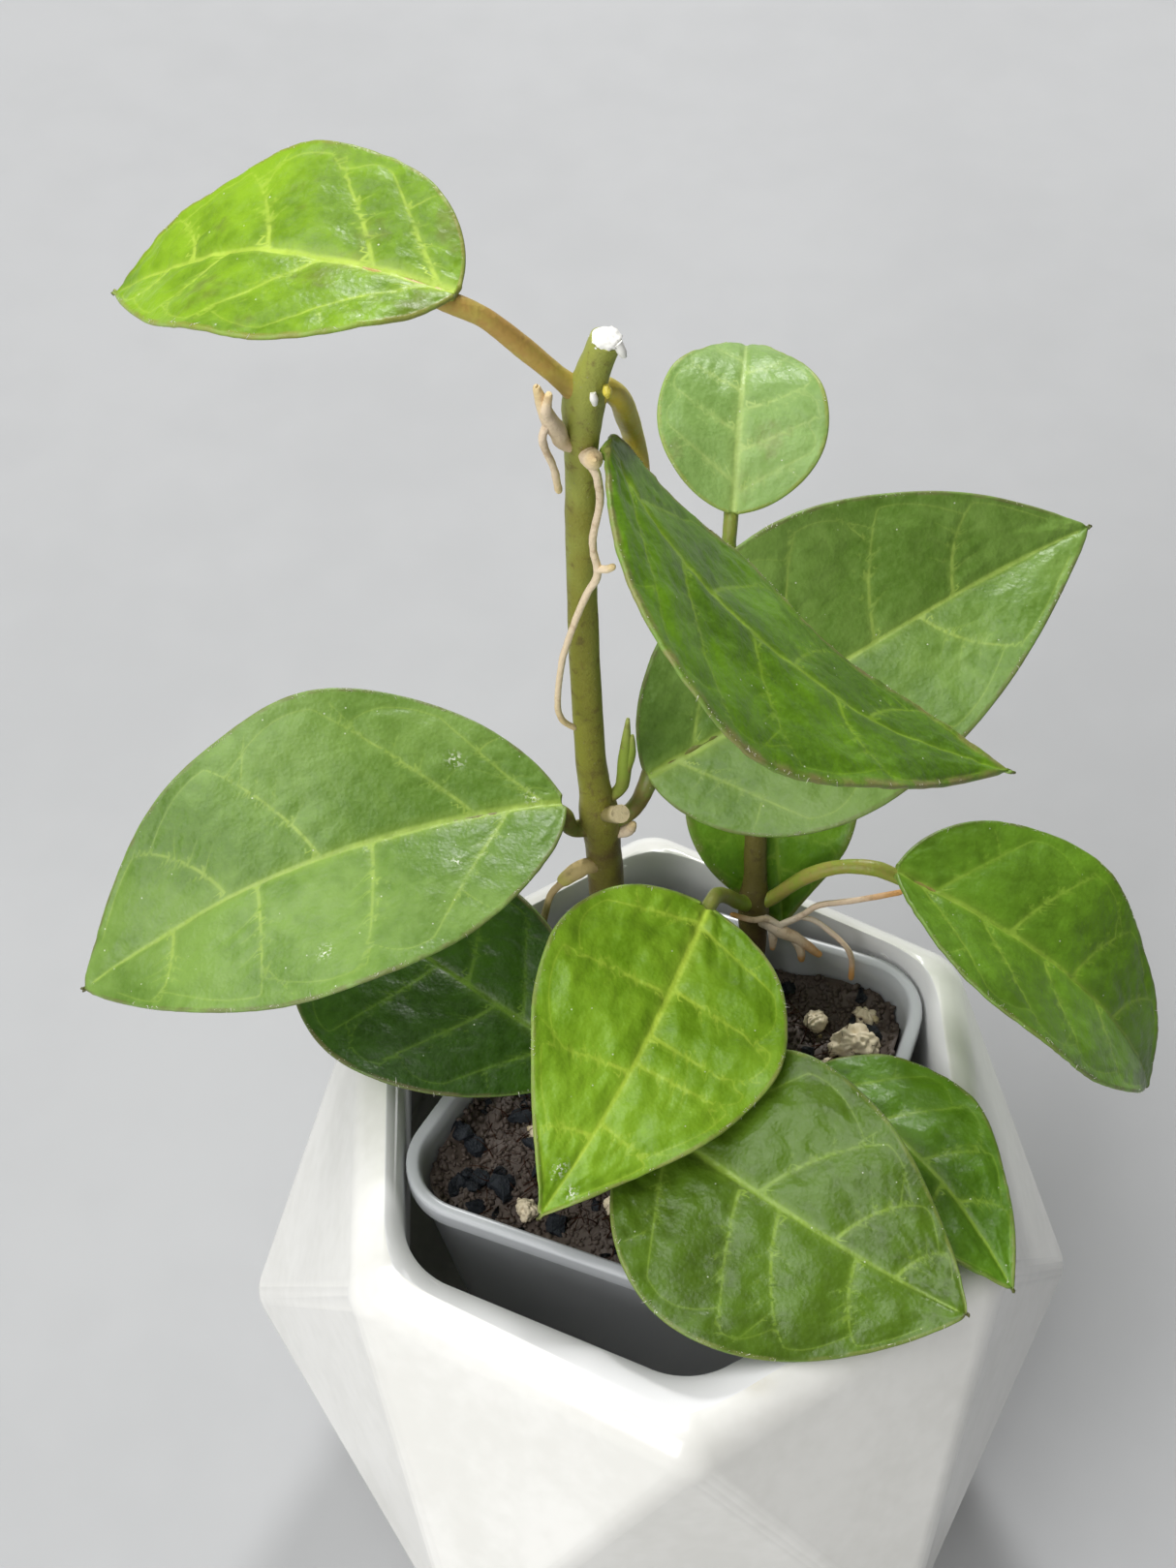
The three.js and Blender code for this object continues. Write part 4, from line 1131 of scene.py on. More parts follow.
@dataclass
class Stone:
    """One pale pumice stone in the soil."""

    node: str
    x: float
    y: float
    radius: float
    turn: float
    level: float = 77.0

    def build(self) -> None:
        """Makes the stone as a finely lumped ball."""
        rows, columns = 44, 60
        polar = np.linspace(0.02, math.pi - 0.02, rows)[::-1]
        around = np.arange(columns) * 2 * math.pi / columns
        p, a = np.meshgrid(polar, around, indexing="ij")
        x, y, z = np.sin(p) * np.cos(a), np.sin(p) * np.sin(a), np.cos(p)
        seed = int(self.turn * 10) + 3
        coarse = smooth_noise(x * 2 + z, y * 2 - z, 1.1, seed)
        lumps = smooth_noise(x * 5 - z * 3, y * 5 + z * 2, 1.0, seed + 1)
        pores = smooth_noise(x * 11 + z * 7, y * 11 - z * 9, 1.0, seed + 2)
        size = self.radius * (1 + 0.26 * coarse + 0.13 * lumps + 0.07 * pores)
        cosine, sine = math.cos(self.turn), math.sin(self.turn)
        points = np.stack([(x * cosine - y * sine * 0.85) * size + self.x,
                           (x * sine + y * cosine * 0.85) * size + self.y,
                           0.8 * z * size + self.level], axis=-1)
        stone = mesh_object(f"{self.node}_stone", *loft(list(points)), Finish.PUMICE.material())
        publish(stone, "pumice", self.node)


# ---------------------------------------------------------------- stems and growths


@dataclass
class Stem:
    """A stem with its swollen nodes."""

    node: str
    finish: Finish
    stations: tuple[Station, ...]

    def build(self) -> None:
        """Makes the stem as one strand, which swells where its stations say so."""
        piece = strand(f"{self.node}_bark", self.stations, self.finish, sides=28, lump=0.35, lump_scale=0.35)
        publish(piece, "stem", self.node)


@dataclass
class Growth:
    """A root, shoot or stub: strands that run together."""

    node: str
    finish: Finish
    slot: str
    strands: tuple[tuple[Station, ...], ...]
    lump: float = 0.25
    pointed: bool = True
    sides: int = 14

    def tipped(self, stations: tuple[Station, ...]) -> tuple[Station, ...]:
        """The stations with one more, a little farther on, where the strand ends in a small tip."""
        if not self.pointed:
            return stations
        before, last = np.array(stations[-2]), np.array(stations[-1])
        way = (last - before)[:3] / np.linalg.norm((last - before)[:3])
        return *stations, (*(last[:3] + 0.9 * last[3] * way), 0.25 * last[3])

    def build(self) -> None:
        """Makes the strands and joins them."""
        pieces = [strand(f"{self.node}_{i}", self.tipped(stations), self.finish, self.sides, self.lump, 0.9)
                  for i, stations in enumerate(self.strands)]
        publish(merge(f"{self.node}_skin", pieces), self.slot, self.node)


# ---------------------------------------------------------------- leaves


@dataclass
class Vein:
    """A vein's path on the flat leaf, its radius and how much of it shows, at both ends."""

    path: np.ndarray
    start: float
    end: float
    show: float
    show_end: float


@dataclass
class Leaf:
    """One leaf: a waxy blade on its stalk.

    base is where the blade starts; heading, pitch and roll say how the line from base to
    tip lies, in degrees; left and right are the widths of the two halves. shoulder and
    taper are the outline's exponents. arch and sway bow the midrib up and to the left;
    lift raises the halves from flat, in degrees. stalk is the stalk's radius, and veins
    give where each side vein leaves the midrib and where it reaches the margin, as shares
    of the length. chalk gives each dried water spot's s, t and radius, quilt how far the
    skin swells between the veins, hook how far the tip bends up, and joint how far along
    the blade the stalk joins it.
    """

    node: str
    finish: Finish
    base: Point
    heading: float
    pitch: float
    roll: float
    length: float
    left: float
    right: float
    shoulder: float
    taper: float
    arch: float
    skew: float
    sway: float
    lift_left: float
    lift_right: float
    twist: float
    wave: float
    waves: float
    phase: float
    stalk: float
    petiole: tuple[Point, ...]
    veins_left: tuple[tuple[float, float], ...] = ((0.1, 0.27), (0.3, 0.45), (0.5, 0.62), (0.68, 0.8))
    veins_right: tuple[tuple[float, float], ...] = ((0.06, 0.22), (0.22, 0.38), (0.4, 0.54), (0.6, 0.74))
    chalk: tuple[Point, ...] = ()
    blunt: float = 0.07
    quilt: float = 0.25
    hook: float = 0.0
    joint: float = 0.015
    seed: int = 1
    slot: str = "leaf"
    grid: float = 0.5
    thickness: float = 0.9
    margin: float = 0.34

    def frame(self) -> tuple[np.ndarray, np.ndarray, np.ndarray]:
        """Unit vectors along the midrib, to the left half, and up from the face."""
        cosine_h, sine_h = turned(self.heading)
        cosine_p, sine_p = turned(self.pitch)
        cosine_r, sine_r = turned(self.roll)
        along = np.array([cosine_p * cosine_h, cosine_p * sine_h, sine_p])
        level = np.array([-sine_h, cosine_h, 0.0])
        left = cosine_r * level + sine_r * np.cross(along, level)
        return along, left, np.cross(along, left)

    def half_width(self, s: np.ndarray, t: np.ndarray) -> np.ndarray:
        """Width of the half on t's side, at s from base to tip; the base is round."""
        widest = self.shoulder / (self.shoulder + self.taper)
        rise = np.sqrt(s / widest) * ((s + self.blunt) / (widest + self.blunt)) ** (self.shoulder - 0.5)
        return np.where(t > 0, self.left, self.right) * rise * ((1 - s) / (1 - widest)) ** self.taper

    def surface(self, s: np.ndarray, t: np.ndarray) -> np.ndarray:
        """Points of the blade's smooth upper face: s runs base to tip, t from right to left."""
        along, left, up = self.frame()
        half = np.maximum(self.half_width(s, t) - self.margin, 0.05)
        lift = np.radians(np.where(t > 0, self.lift_left, self.lift_right))
        bow = 4 * s * (1 - s)
        turns = 2 * math.pi * self.waves * s + self.phase * np.where(t > 0, 1, 2)
        ripple = self.wave * np.abs(t) ** 3 * np.sqrt(bow) * np.sin(turns)
        across = self.sway * bow + t * half * np.cos(lift)
        rise = self.arch * bow * (1 + self.skew * (2 * s - 1)) + np.abs(t) * half * np.sin(lift) + ripple
        rise = rise + self.hook * np.clip((s - 0.86) / 0.14, 0, 1) ** 2
        turn = np.radians(self.twist) * (s - 0.5)
        sideways = across * np.cos(turn) - rise * np.sin(turn)
        upwards = across * np.sin(turn) + rise * np.cos(turn)
        return (np.array(self.base) + np.multiply.outer(self.length * s, along)
                + np.multiply.outer(sideways, left) + np.multiply.outer(upwards, up))

    def flat(self, s: Any, t: Any) -> np.ndarray:
        """The same places on the leaf pressed flat, in millimetres from its base."""
        s, t = np.broadcast_arrays(np.asarray(s, float), np.asarray(t, float))
        return np.stack([self.length * s, t * self.half_width(s, t)], axis=-1)

    def side_vein(self, side: int, start: float, end: float, share: np.ndarray) -> np.ndarray:
        """Where a side vein runs, as s and t."""
        s = start + (end - start) * share ** 1.2
        t = side * 0.9 * share ** 0.92
        return np.stack([s, t], axis=-1)

    def main_veins(self) -> list[Vein]:
        """The midrib, the side veins with their forks, and the arcs that join them."""
        veins = [Vein(self.flat(np.linspace(0, 0.97, 40), 0.0), 0.5, 0.12, 1.0, 0.55)]
        share = np.linspace(0, 1, 14)
        for side, rows in ((1, self.veins_left), (-1, self.veins_right)):
            for k, (start, end) in enumerate(rows):
                path = self.side_vein(side, start, end, share)
                veins.append(Vein(self.flat(path[:, 0], path[:, 1]), 0.24, 0.1, 0.7, 0.3))
                veins += self.twigs(side, path)
                fork = path[9]
                reach = np.linspace(0, 1, 6)
                bend = fork[0] + (0.045 if k % 2 else -0.04) * reach
                out = fork[1] + (side * 0.93 - fork[1]) * reach
                veins.append(Vein(self.flat(bend, out), 0.12, 0.08, 0.4, 0.2))
                following = rows[k + 1] if k + 1 < len(rows) else (0.9, 0.93)
                goal = self.side_vein(side, *following, np.array([0.82]))[0]
                reach = np.linspace(0, 1, 9)
                arc_s = end + (goal[0] - end) * reach
                arc_t = side * (0.9 + 0.03 * np.sin(math.pi * reach)) + (goal[1] - side * 0.9) * reach ** 2
                veins.append(Vein(self.flat(arc_s, arc_t), 0.1, 0.08, 0.25, 0.25))
        return veins

    def twigs(self, side: int, path: np.ndarray) -> list[Vein]:
        """The short fine veins that leave a side vein towards the margin."""
        draw = np.random.default_rng(self.seed + int(1000 * path[0, 0]))
        reach = np.linspace(0, 1, 6)
        veins = []
        for k, slope in enumerate((0.06, -0.03, 0.055, -0.025, 0.045, -0.02)):
            start = path[2 + 2 * (k // 2) + k % 2]
            s = start[0] + slope * draw.uniform(0.8, 1.3) * reach ** 1.3
            t = start[1] + side * draw.uniform(0.12, 0.2) * reach ** 0.8
            flat = self.flat(s.clip(0.01, 0.96), t.clip(-0.95, 0.95))
            veins.append(Vein(flat, 0.1, 0.07, 0.3, 0.05))
        return veins

    @staticmethod
    def reach_to(places: np.ndarray, veins: list[Vein]) -> tuple[np.ndarray, ...]:
        """Distance from each place to the nearest vein.

        Args:
            places: flat points.
            veins: as main_veins gives them.

        Returns:
            The signed and the plain distance in the vein's own radii, the distance in
            millimetres, and how much of the vein shows there.
        """
        best = np.full(len(places), 1e6)
        sign = np.ones(len(places))
        plain = np.full(len(places), 1e6)
        rank = np.zeros(len(places))
        for vein in veins:
            radii = np.linspace(vein.start, vein.end, len(vein.path))
            shows = np.linspace(vein.show, vein.show_end, len(vein.path))
            for a, b, radius, show in zip(vein.path, vein.path[1:], radii, shows):
                step = b - a
                share = ((places - a) @ step / (step @ step + 1e-9)).clip(0, 1)
                away = places - a - share[:, None] * step
                gap = np.hypot(away[:, 0], away[:, 1])
                nearer = gap / radius < best
                best = np.where(nearer, gap / radius, best)
                rank = np.where(nearer, show, rank)
                sign = np.where(nearer, np.sign(away[:, 0] * step[1] - away[:, 1] * step[0]), sign)
                plain = np.minimum(plain, gap)
        return best * sign, best, plain, rank

    def spots(self, flat: np.ndarray) -> np.ndarray:
        """How chalky the skin is: dried water spots at their places."""
        chalk = np.zeros(len(flat))
        for s, t, radius in self.chalk:
            gap = np.linalg.norm(flat - self.flat(s, t), axis=1)
            chalk = np.maximum(chalk, np.exp(-(gap / radius) ** 2))
        return chalk

    def blade(self) -> Piece:
        """Builds the blade as one closed thin body with a rounded margin."""
        rows = max(int(self.length / self.grid), 20)
        half = max(int(max(self.left, self.right) / self.grid), 12)
        s = 0.0012 + 0.9976 * (0.5 - 0.5 * np.cos(np.linspace(0, math.pi, rows + 1)))
        t = np.linspace(-1, 1, 2 * half + 1)
        across = len(t)
        grid_s, grid_t = np.meshgrid(s, t, indexing="ij")
        smooth = self.surface(grid_s, grid_t)
        normal = np.cross(np.gradient(smooth, axis=0), np.gradient(smooth, axis=1))
        normal /= np.linalg.norm(normal, axis=-1, keepdims=True) + 1e-12
        flat = self.flat(grid_s, grid_t).reshape(-1, 2)
        vein, vein_gap, near, rank = self.reach_to(flat, self.main_veins())
        rim = ((1 - np.abs(grid_t)) * self.half_width(grid_s, grid_t)).ravel()
        rim = np.minimum(rim, (flat[:, 0] + 0.2) * 2)
        x, y = flat[:, 0], flat[:, 1]
        pillow = self.quilt * (1 - np.exp(-(near / 2.2) ** 2)) * (1 - np.exp(-(rim / 2.0) ** 2))
        groove = 0.2 * (0.3 + rank) * np.exp(-(near / 0.5) ** 2)
        broad = 0.45 * smooth_noise(x, y, 11.0, self.seed) * (1 - np.exp(-(rim / 5.0) ** 2))
        crinkle = 0.07 * smooth_noise(x, y, 1.6, self.seed + 5)
        crinkle = crinkle + 0.05 * smooth_noise(x, y, 0.8, self.seed + 9)
        raised = (pillow - groove + broad + crinkle * (1 + 2 * self.quilt)).reshape(grid_s.shape)
        upper = smooth + normal * raised[..., None]
        towards_tip = np.clip((1 - grid_s) / 0.12, 0.45, 1)
        keel = 0.45 * np.exp(-(y / 0.8) ** 2) * np.sqrt((1 - x / self.length).clip(0, 1))
        depth = (0.6 + (self.thickness - 0.6) * (1 - np.abs(grid_t) ** 4)) * towards_tip
        depth = depth + keel.reshape(grid_s.shape)
        lower = upper - normal * depth[..., None]
        faces = self.grid_faces(rows, across)
        loop = self.boundary(rows, across)
        sides = (field.reshape(-1, 3) for field in (upper, lower, normal))
        points, extra = self.margin_strip(*sides, loop)
        piece = mesh_object(f"{self.node}_blade", points, faces + extra, self.finish.material())
        bare = np.zeros_like(rim)
        fields = {"vein": (vein, vein), "vein_gap": (vein_gap, vein_gap), "vein_rank": (rank, rank),
                  "rim": (rim, rim + 0.3), "top": (bare + 1, bare), "chalk": (self.spots(flat), bare),
                  "along": (x / self.length, x / self.length)}
        for name, (front, back) in fields.items():
            edge = [0.0] if name == "rim" else (front[loop] + back[loop]) / 2
            strip = np.broadcast_to(edge, len(loop))
            add_attribute(piece, name, np.concatenate([front, back, strip, strip, strip]))
        return piece

    @staticmethod
    def grid_faces(rows: int, across: int) -> list[list[int]]:
        """Faces of the upper and the lower side."""
        under = (rows + 1) * across
        faces = []
        for i in range(rows):
            for j in range(across - 1):
                a = i * across + j
                b = a + across
                faces.append([a, b, b + 1, a + 1])
                faces.append([under + a, under + a + 1, under + b + 1, under + b])
        return faces

    @staticmethod
    def boundary(rows: int, across: int) -> np.ndarray:
        """Vertex numbers round the edge of the upper side."""
        loop = list(range(across)) + [i * across + across - 1 for i in range(1, rows + 1)]
        loop += [rows * across + j for j in range(across - 2, -1, -1)]
        return np.array(loop + [i * across for i in range(rows - 1, 0, -1)])

    def margin_strip(self, upper: np.ndarray, lower: np.ndarray, normal: np.ndarray,
                     loop: np.ndarray) -> tuple[np.ndarray, list[list[int]]]:
        """Rounds the edge between the two sides.

        Args:
            upper, lower, normal: points and normals of the two sides.
            loop: vertex numbers round the edge.

        Returns:
            All points of the blade, and the strip's faces.
        """
        top, bottom, face = upper[loop], lower[loop], normal[loop]
        along = np.roll(top, -1, axis=0) - np.roll(top, 1, axis=0)
        out = np.cross(face, along)
        out /= np.linalg.norm(out, axis=1, keepdims=True) + 1e-12
        inside = upper.mean(axis=0) - top
        out *= -np.sign((out * inside).sum(axis=1, keepdims=True))
        middle, reach = (top + bottom) / 2, (top - bottom) / 2
        rings = []
        for angle in (50, 0, -50):
            cosine, sine = turned(angle)
            rings.append(middle + reach * sine + out * self.margin * cosine)
        count, start = len(loop), 2 * len(upper)
        chain = [loop, *(start + k * count + np.arange(count) for k in range(3)), loop + len(upper)]
        faces = []
        for near, far in zip(chain, chain[1:]):
            for i in range(count):
                j = (i + 1) % count
                faces.append([near[i], near[j], far[j], far[i]])
        return np.vstack([upper, lower, *rings]), faces

    def stalk_strand(self) -> Piece:
        """Builds the stalk, which runs on under the blade as the thick foot of the midrib."""
        count = len(self.petiole)
        swell = [1.35 if i == 0 else 1.0 + 0.08 * math.sin(3 * i) for i in range(count)]
        stations = [(*place, self.stalk * factor) for place, factor in zip(self.petiole, swell)]
        for onward, factor in ((0.0, 1.0), (0.035, 0.85), (0.075, 0.65), (0.125, 0.45), (0.185, 0.25)):
            share = self.joint + onward
            place, ahead = self.surface(np.array([share, share + 0.01]), np.array([0.0, 0.0]))
            left = self.surface(np.array([share]), np.array([0.1]))[0] - place
            down = np.cross(left, ahead - place)
            down *= (self.stalk * factor + 0.55) / np.linalg.norm(down)
            stations.append((*(place + down), self.stalk * factor))
        return strand(f"{self.node}_stalk", stations, self.finish, 16, 0.14, 0.7, stalk=1.0)

    def fuzz(self) -> Piece:
        """Fine pale hairs along the margin."""
        s = np.concatenate([np.linspace(0.02, 0.97, 90), np.linspace(0.97, 0.02, 90)])
        side = np.repeat([1.0, -1.0], 90)
        outer, inner = self.surface(s, side * 1.01), self.surface(s, side * 0.985)
        count = len(s)
        faces = [[i, i + 1, count + i + 1, count + i] for i in range(count - 1)]
        host = mesh_object(f"{self.node}_fuzz", np.vstack([outer, inner]), faces)
        cover = (smooth_noise(outer[:, 0], outer[:, 1], 4.0, self.seed) > -0.2).astype(float)
        add_attribute(host, "cover", np.concatenate([cover, cover]))
        return apply_tree(host, hair_tree, density=6e6, smallest=0.0003, largest=0.0008, thickness=0.06,
                          tilt=1.3, seed=self.seed, material=Finish.FUZZ.material())

    def build(self) -> None:
        """Makes the leaf and hands it over as one piece, and its hairs as another."""
        publish(merge(f"{self.node}_waxy", [self.blade(), self.stalk_strand()]), self.slot, self.node)
        publish(self.fuzz(), self.slot)


LEAVES = (
    Leaf("leaf_upper_left", Finish.YOUNG_LEAF, (-24, 26, 208.3), 155, -21, -8, 46, 13.6, 14.9, 0.59, 1.1,
         7, 0.05, 0.9, 7, 7, -14, 0.5, 2.5, 0.4, 1.15,
         ((-11.2, 27, 192.8), (-13.6, 26.8, 195.6), (-15, 26.6, 197.4), (-17.4, 26.5, 200.2),
          (-21.2, 26.3, 204.4)),
         veins_left=((0.05, 0.3), (0.3, 0.5), (0.54, 0.68), (0.74, 0.84)),
         veins_right=((0.03, 0.24), (0.18, 0.38), (0.43, 0.58), (0.66, 0.78)), quilt=0.4, hook=0.8, seed=3,
         slot="leaf_light"),
    Leaf("leaf_upper_right", Finish.HANGING_LEAF, (-8.1, 25.4, 187.1), -19, -37, -22, 62.2, 18.6, 20.4,
         0.59, 1.16, -4, -0.3, -6.3, -7, -4, 3, 0.6, 2.2, 2.2, 1.3,
         ((-10.6, 27, 192), (-8.8, 27.8, 193), (-7.2, 29.2, 190.2), (-6.3, 33.2, 183.6), (-5.6, 35.8, 178.6),
          (-4.9, 36, 173.4), (-4.7, 32, 170), (-4.5, 27, 171.4), (-4.2, 22.6, 175)),
         quilt=0.3, joint=0.16, seed=5),
    Leaf("leaf_lower_left", Finish.DULL_LEAF, (-14.3, 28, 118.9), 196, -14, -13, 68.4, 19.8, 21.4, 0.7,
         0.93, 8.3, 0.1, -1.7, 9, 14, -12, 0.7, 2.6, 0.9, 1.2,
         ((-9.4, 30, 111.2), (-12.2, 29, 111.6), (-13.4, 28.3, 113.2), (-14.1, 28, 115.8)),
         veins_left=((0.1, 0.3), (0.36, 0.43), (0.59, 0.64), (0.78, 0.84)),
         veins_right=((0.03, 0.16), (0.16, 0.38), (0.46, 0.61), (0.65, 0.8)), quilt=0.2, seed=8,
         chalk=((0.05, -0.12, 0.7), (0.16, -0.5, 0.9), (0.22, 0.4, 0.6), (0.5, 0.7, 0.8))),
    Leaf("leaf_lower_right", Finish.DULL_LEAF, (-2.9, 31, 120.6), 26, 14, 28, 68.2, 21.1, 18.8, 0.57,
         0.96, 5.2, 0, 0.2, 22, 10, -25, 0.6, 2.4, 1.6, 1.2,
         ((-8.6, 30, 112), (-5.8, 30.3, 113), (-4.3, 30.7, 114.8), (-3.2, 31, 118)), quilt=0.3, seed=13),
    Leaf("leaf_rear_round", Finish.ROUND_LEAF, (8.3, 57, 143.4), 84, 5, 3, 30, 11, 11.7, 0.57, 1.09, 7.2,
         0.08, 0.4, 7, 6, -1, 0.4, 2.1, 0.3, 1.0, ((8.5, 52, 137.4), (7.9, 54.6, 139), (8, 56, 141)),
         quilt=0.15, hook=-2.2, seed=21, slot="leaf_light"),
    Leaf("leaf_front", Finish.FRESH_LEAF, (5, 20, 105.6), 241, -12, -19, 47.6, 17.2, 17.7, 0.57, 1.16,
         2.4, 0.03, 1.2, 6, 7, -5, 0.9, 3.4, 0.5, 1.1,
         ((12.2, 30.2, 91.8), (10.4, 29.2, 93.4), (8.4, 27.5, 97.4), (6.8, 24.8, 101.6), (5.9, 22.6, 103.6)),
         veins_left=((0.06, 0.14), (0.27, 0.3), (0.42, 0.44), (0.51, 0.5), (0.7, 0.74)),
         veins_right=((0.05, 0.14), (0.29, 0.33), (0.54, 0.6), (0.74, 0.79)), quilt=0.65, seed=34,
         chalk=((0.86, -0.3, 0.9), (0.9, 0.5, 0.8))),
    Leaf("leaf_right", Finish.RIGHT_LEAF, (31.6, 28, 102.7), -17, -43, 1, 56.7, 17.4, 17, 0.63, 1.03, 8.5,
         0.2, -1.4, 13, 15, 13, 0.6, 2.3, 1.1, 1.05,
         ((12.8, 30.4, 91.6), (15.1, 30.4, 92.8), (17.4, 30.2, 96), (20.1, 29.9, 99.2), (23.9, 29.3, 101.8),
          (28.3, 28.4, 102.7)), quilt=0.25, seed=55),
    Leaf("leaf_rear_hanging", Finish.REAR_LEAF, (13.2, 46.5, 112), -77, -58, 4, 31.6, 12.3, 12.6, 0.59,
         1.1, 2.1, 0.03, 0.1, 7, 9, 3, 0.4, 2, 0.2, 1.0,
         ((12.1, 39, 110.6), (12.4, 42, 112.8), (13, 44.6, 113.6)), quilt=0.2, seed=89),
    Leaf("leaf_low_left", Finish.DEEP_LEAF, (-10.4, 6, 87.6), 142.5, 6, -12, 49, 18.8, 14.7, 0.75, 0.62,
         6.8, 0, 2.5, 3, 9, -11, 0.5, 2.2, 1.8, 1.1,
         ((-2, 4.7, 81.4), (-4.4, 5, 82.6), (-7, 5.4, 85)), quilt=0.2, seed=144),
    Leaf("leaf_low_front", Finish.LOW_LEAF, (-4.3, -3.6, 91), -34, -2, 15, 49.7, 19, 20.9, 0.58, 0.91, 3,
         -0.14, -1.2, 9, 5, 24, 0.6, 2.8, 2.6, 1.1, ((-1.9, 4.4, 82.6), (-2.4, 2, 84), (-3.2, -0.4, 87.4)),
         veins_left=((0.14, 0.34), (0.39, 0.62), (0.62, 0.78), (0.8, 0.88)),
         veins_right=((0.1, 0.27), (0.34, 0.5), (0.46, 0.65), (0.69, 0.8)), quilt=0.45, hook=2.2, seed=233),
    Leaf("leaf_low_right", Finish.EDGE_LEAF, (18.4, 4.7, 87.5), -52, 0, -6, 40.5, 12, 14.2, 0.58, 1.03,
         2.2, 0.05, 2.5, 7, 6, -4, 0.5, 2.4, 0.8, 0.95,
         ((-1.8, 4.6, 81.4), (1.2, 5, 82.2), (7.5, 6, 83.6), (13.5, 5.8, 85.8)), quilt=0.6, seed=377),
)

STEMS = (
    Stem("stem_main", Finish.MAIN_STEM, (
        (-7.7, 26.6, 66, 2.5), (-7.8, 27.6, 77, 2.5), (-8.1, 29, 88, 2.5), (-8.4, 29.8, 98, 2.5),
        (-8.9, 30.1, 107, 2.45), (-9.4, 29.9, 113.5, 2.75), (-9.9, 29.8, 119, 2.2), (-10.5, 29.5, 127, 2),
        (-11.2, 29, 147, 1.9), (-11.5, 28.3, 168.6, 1.8), (-11.4, 27.7, 183.2, 1.85),
        (-11.1, 27.1, 191.6, 2.35), (-10.3, 26.9, 195.6, 1.9), (-8.7, 26.5, 201.2, 1.75))),
    Stem("stem_rear", Finish.REAR_STEM, (
        (13, 24.4, 66, 1.5), (13, 25.2, 77, 1.5), (12.9, 27, 83.4, 1.5), (12.6, 29, 88, 2.1),
        (12.5, 30.5, 91.4, 2.2), (12.6, 33, 95.5, 1.65), (12.5, 36, 103, 1.6), (12.2, 38.8, 110.2, 2),
        (11.4, 42.4, 118, 1.6), (10, 46.6, 126.6, 1.5), (8.8, 51, 136, 1.6), (8.4, 52.6, 138.4, 1.4))),
    Stem("stem_short", Finish.REAR_STEM, (
        (-2, 5.6, 66, 1.9), (-2, 5.2, 77, 1.9), (-1.9, 4.6, 82.4, 2), (-1.8, 4.4, 84.6, 1.7))),
)

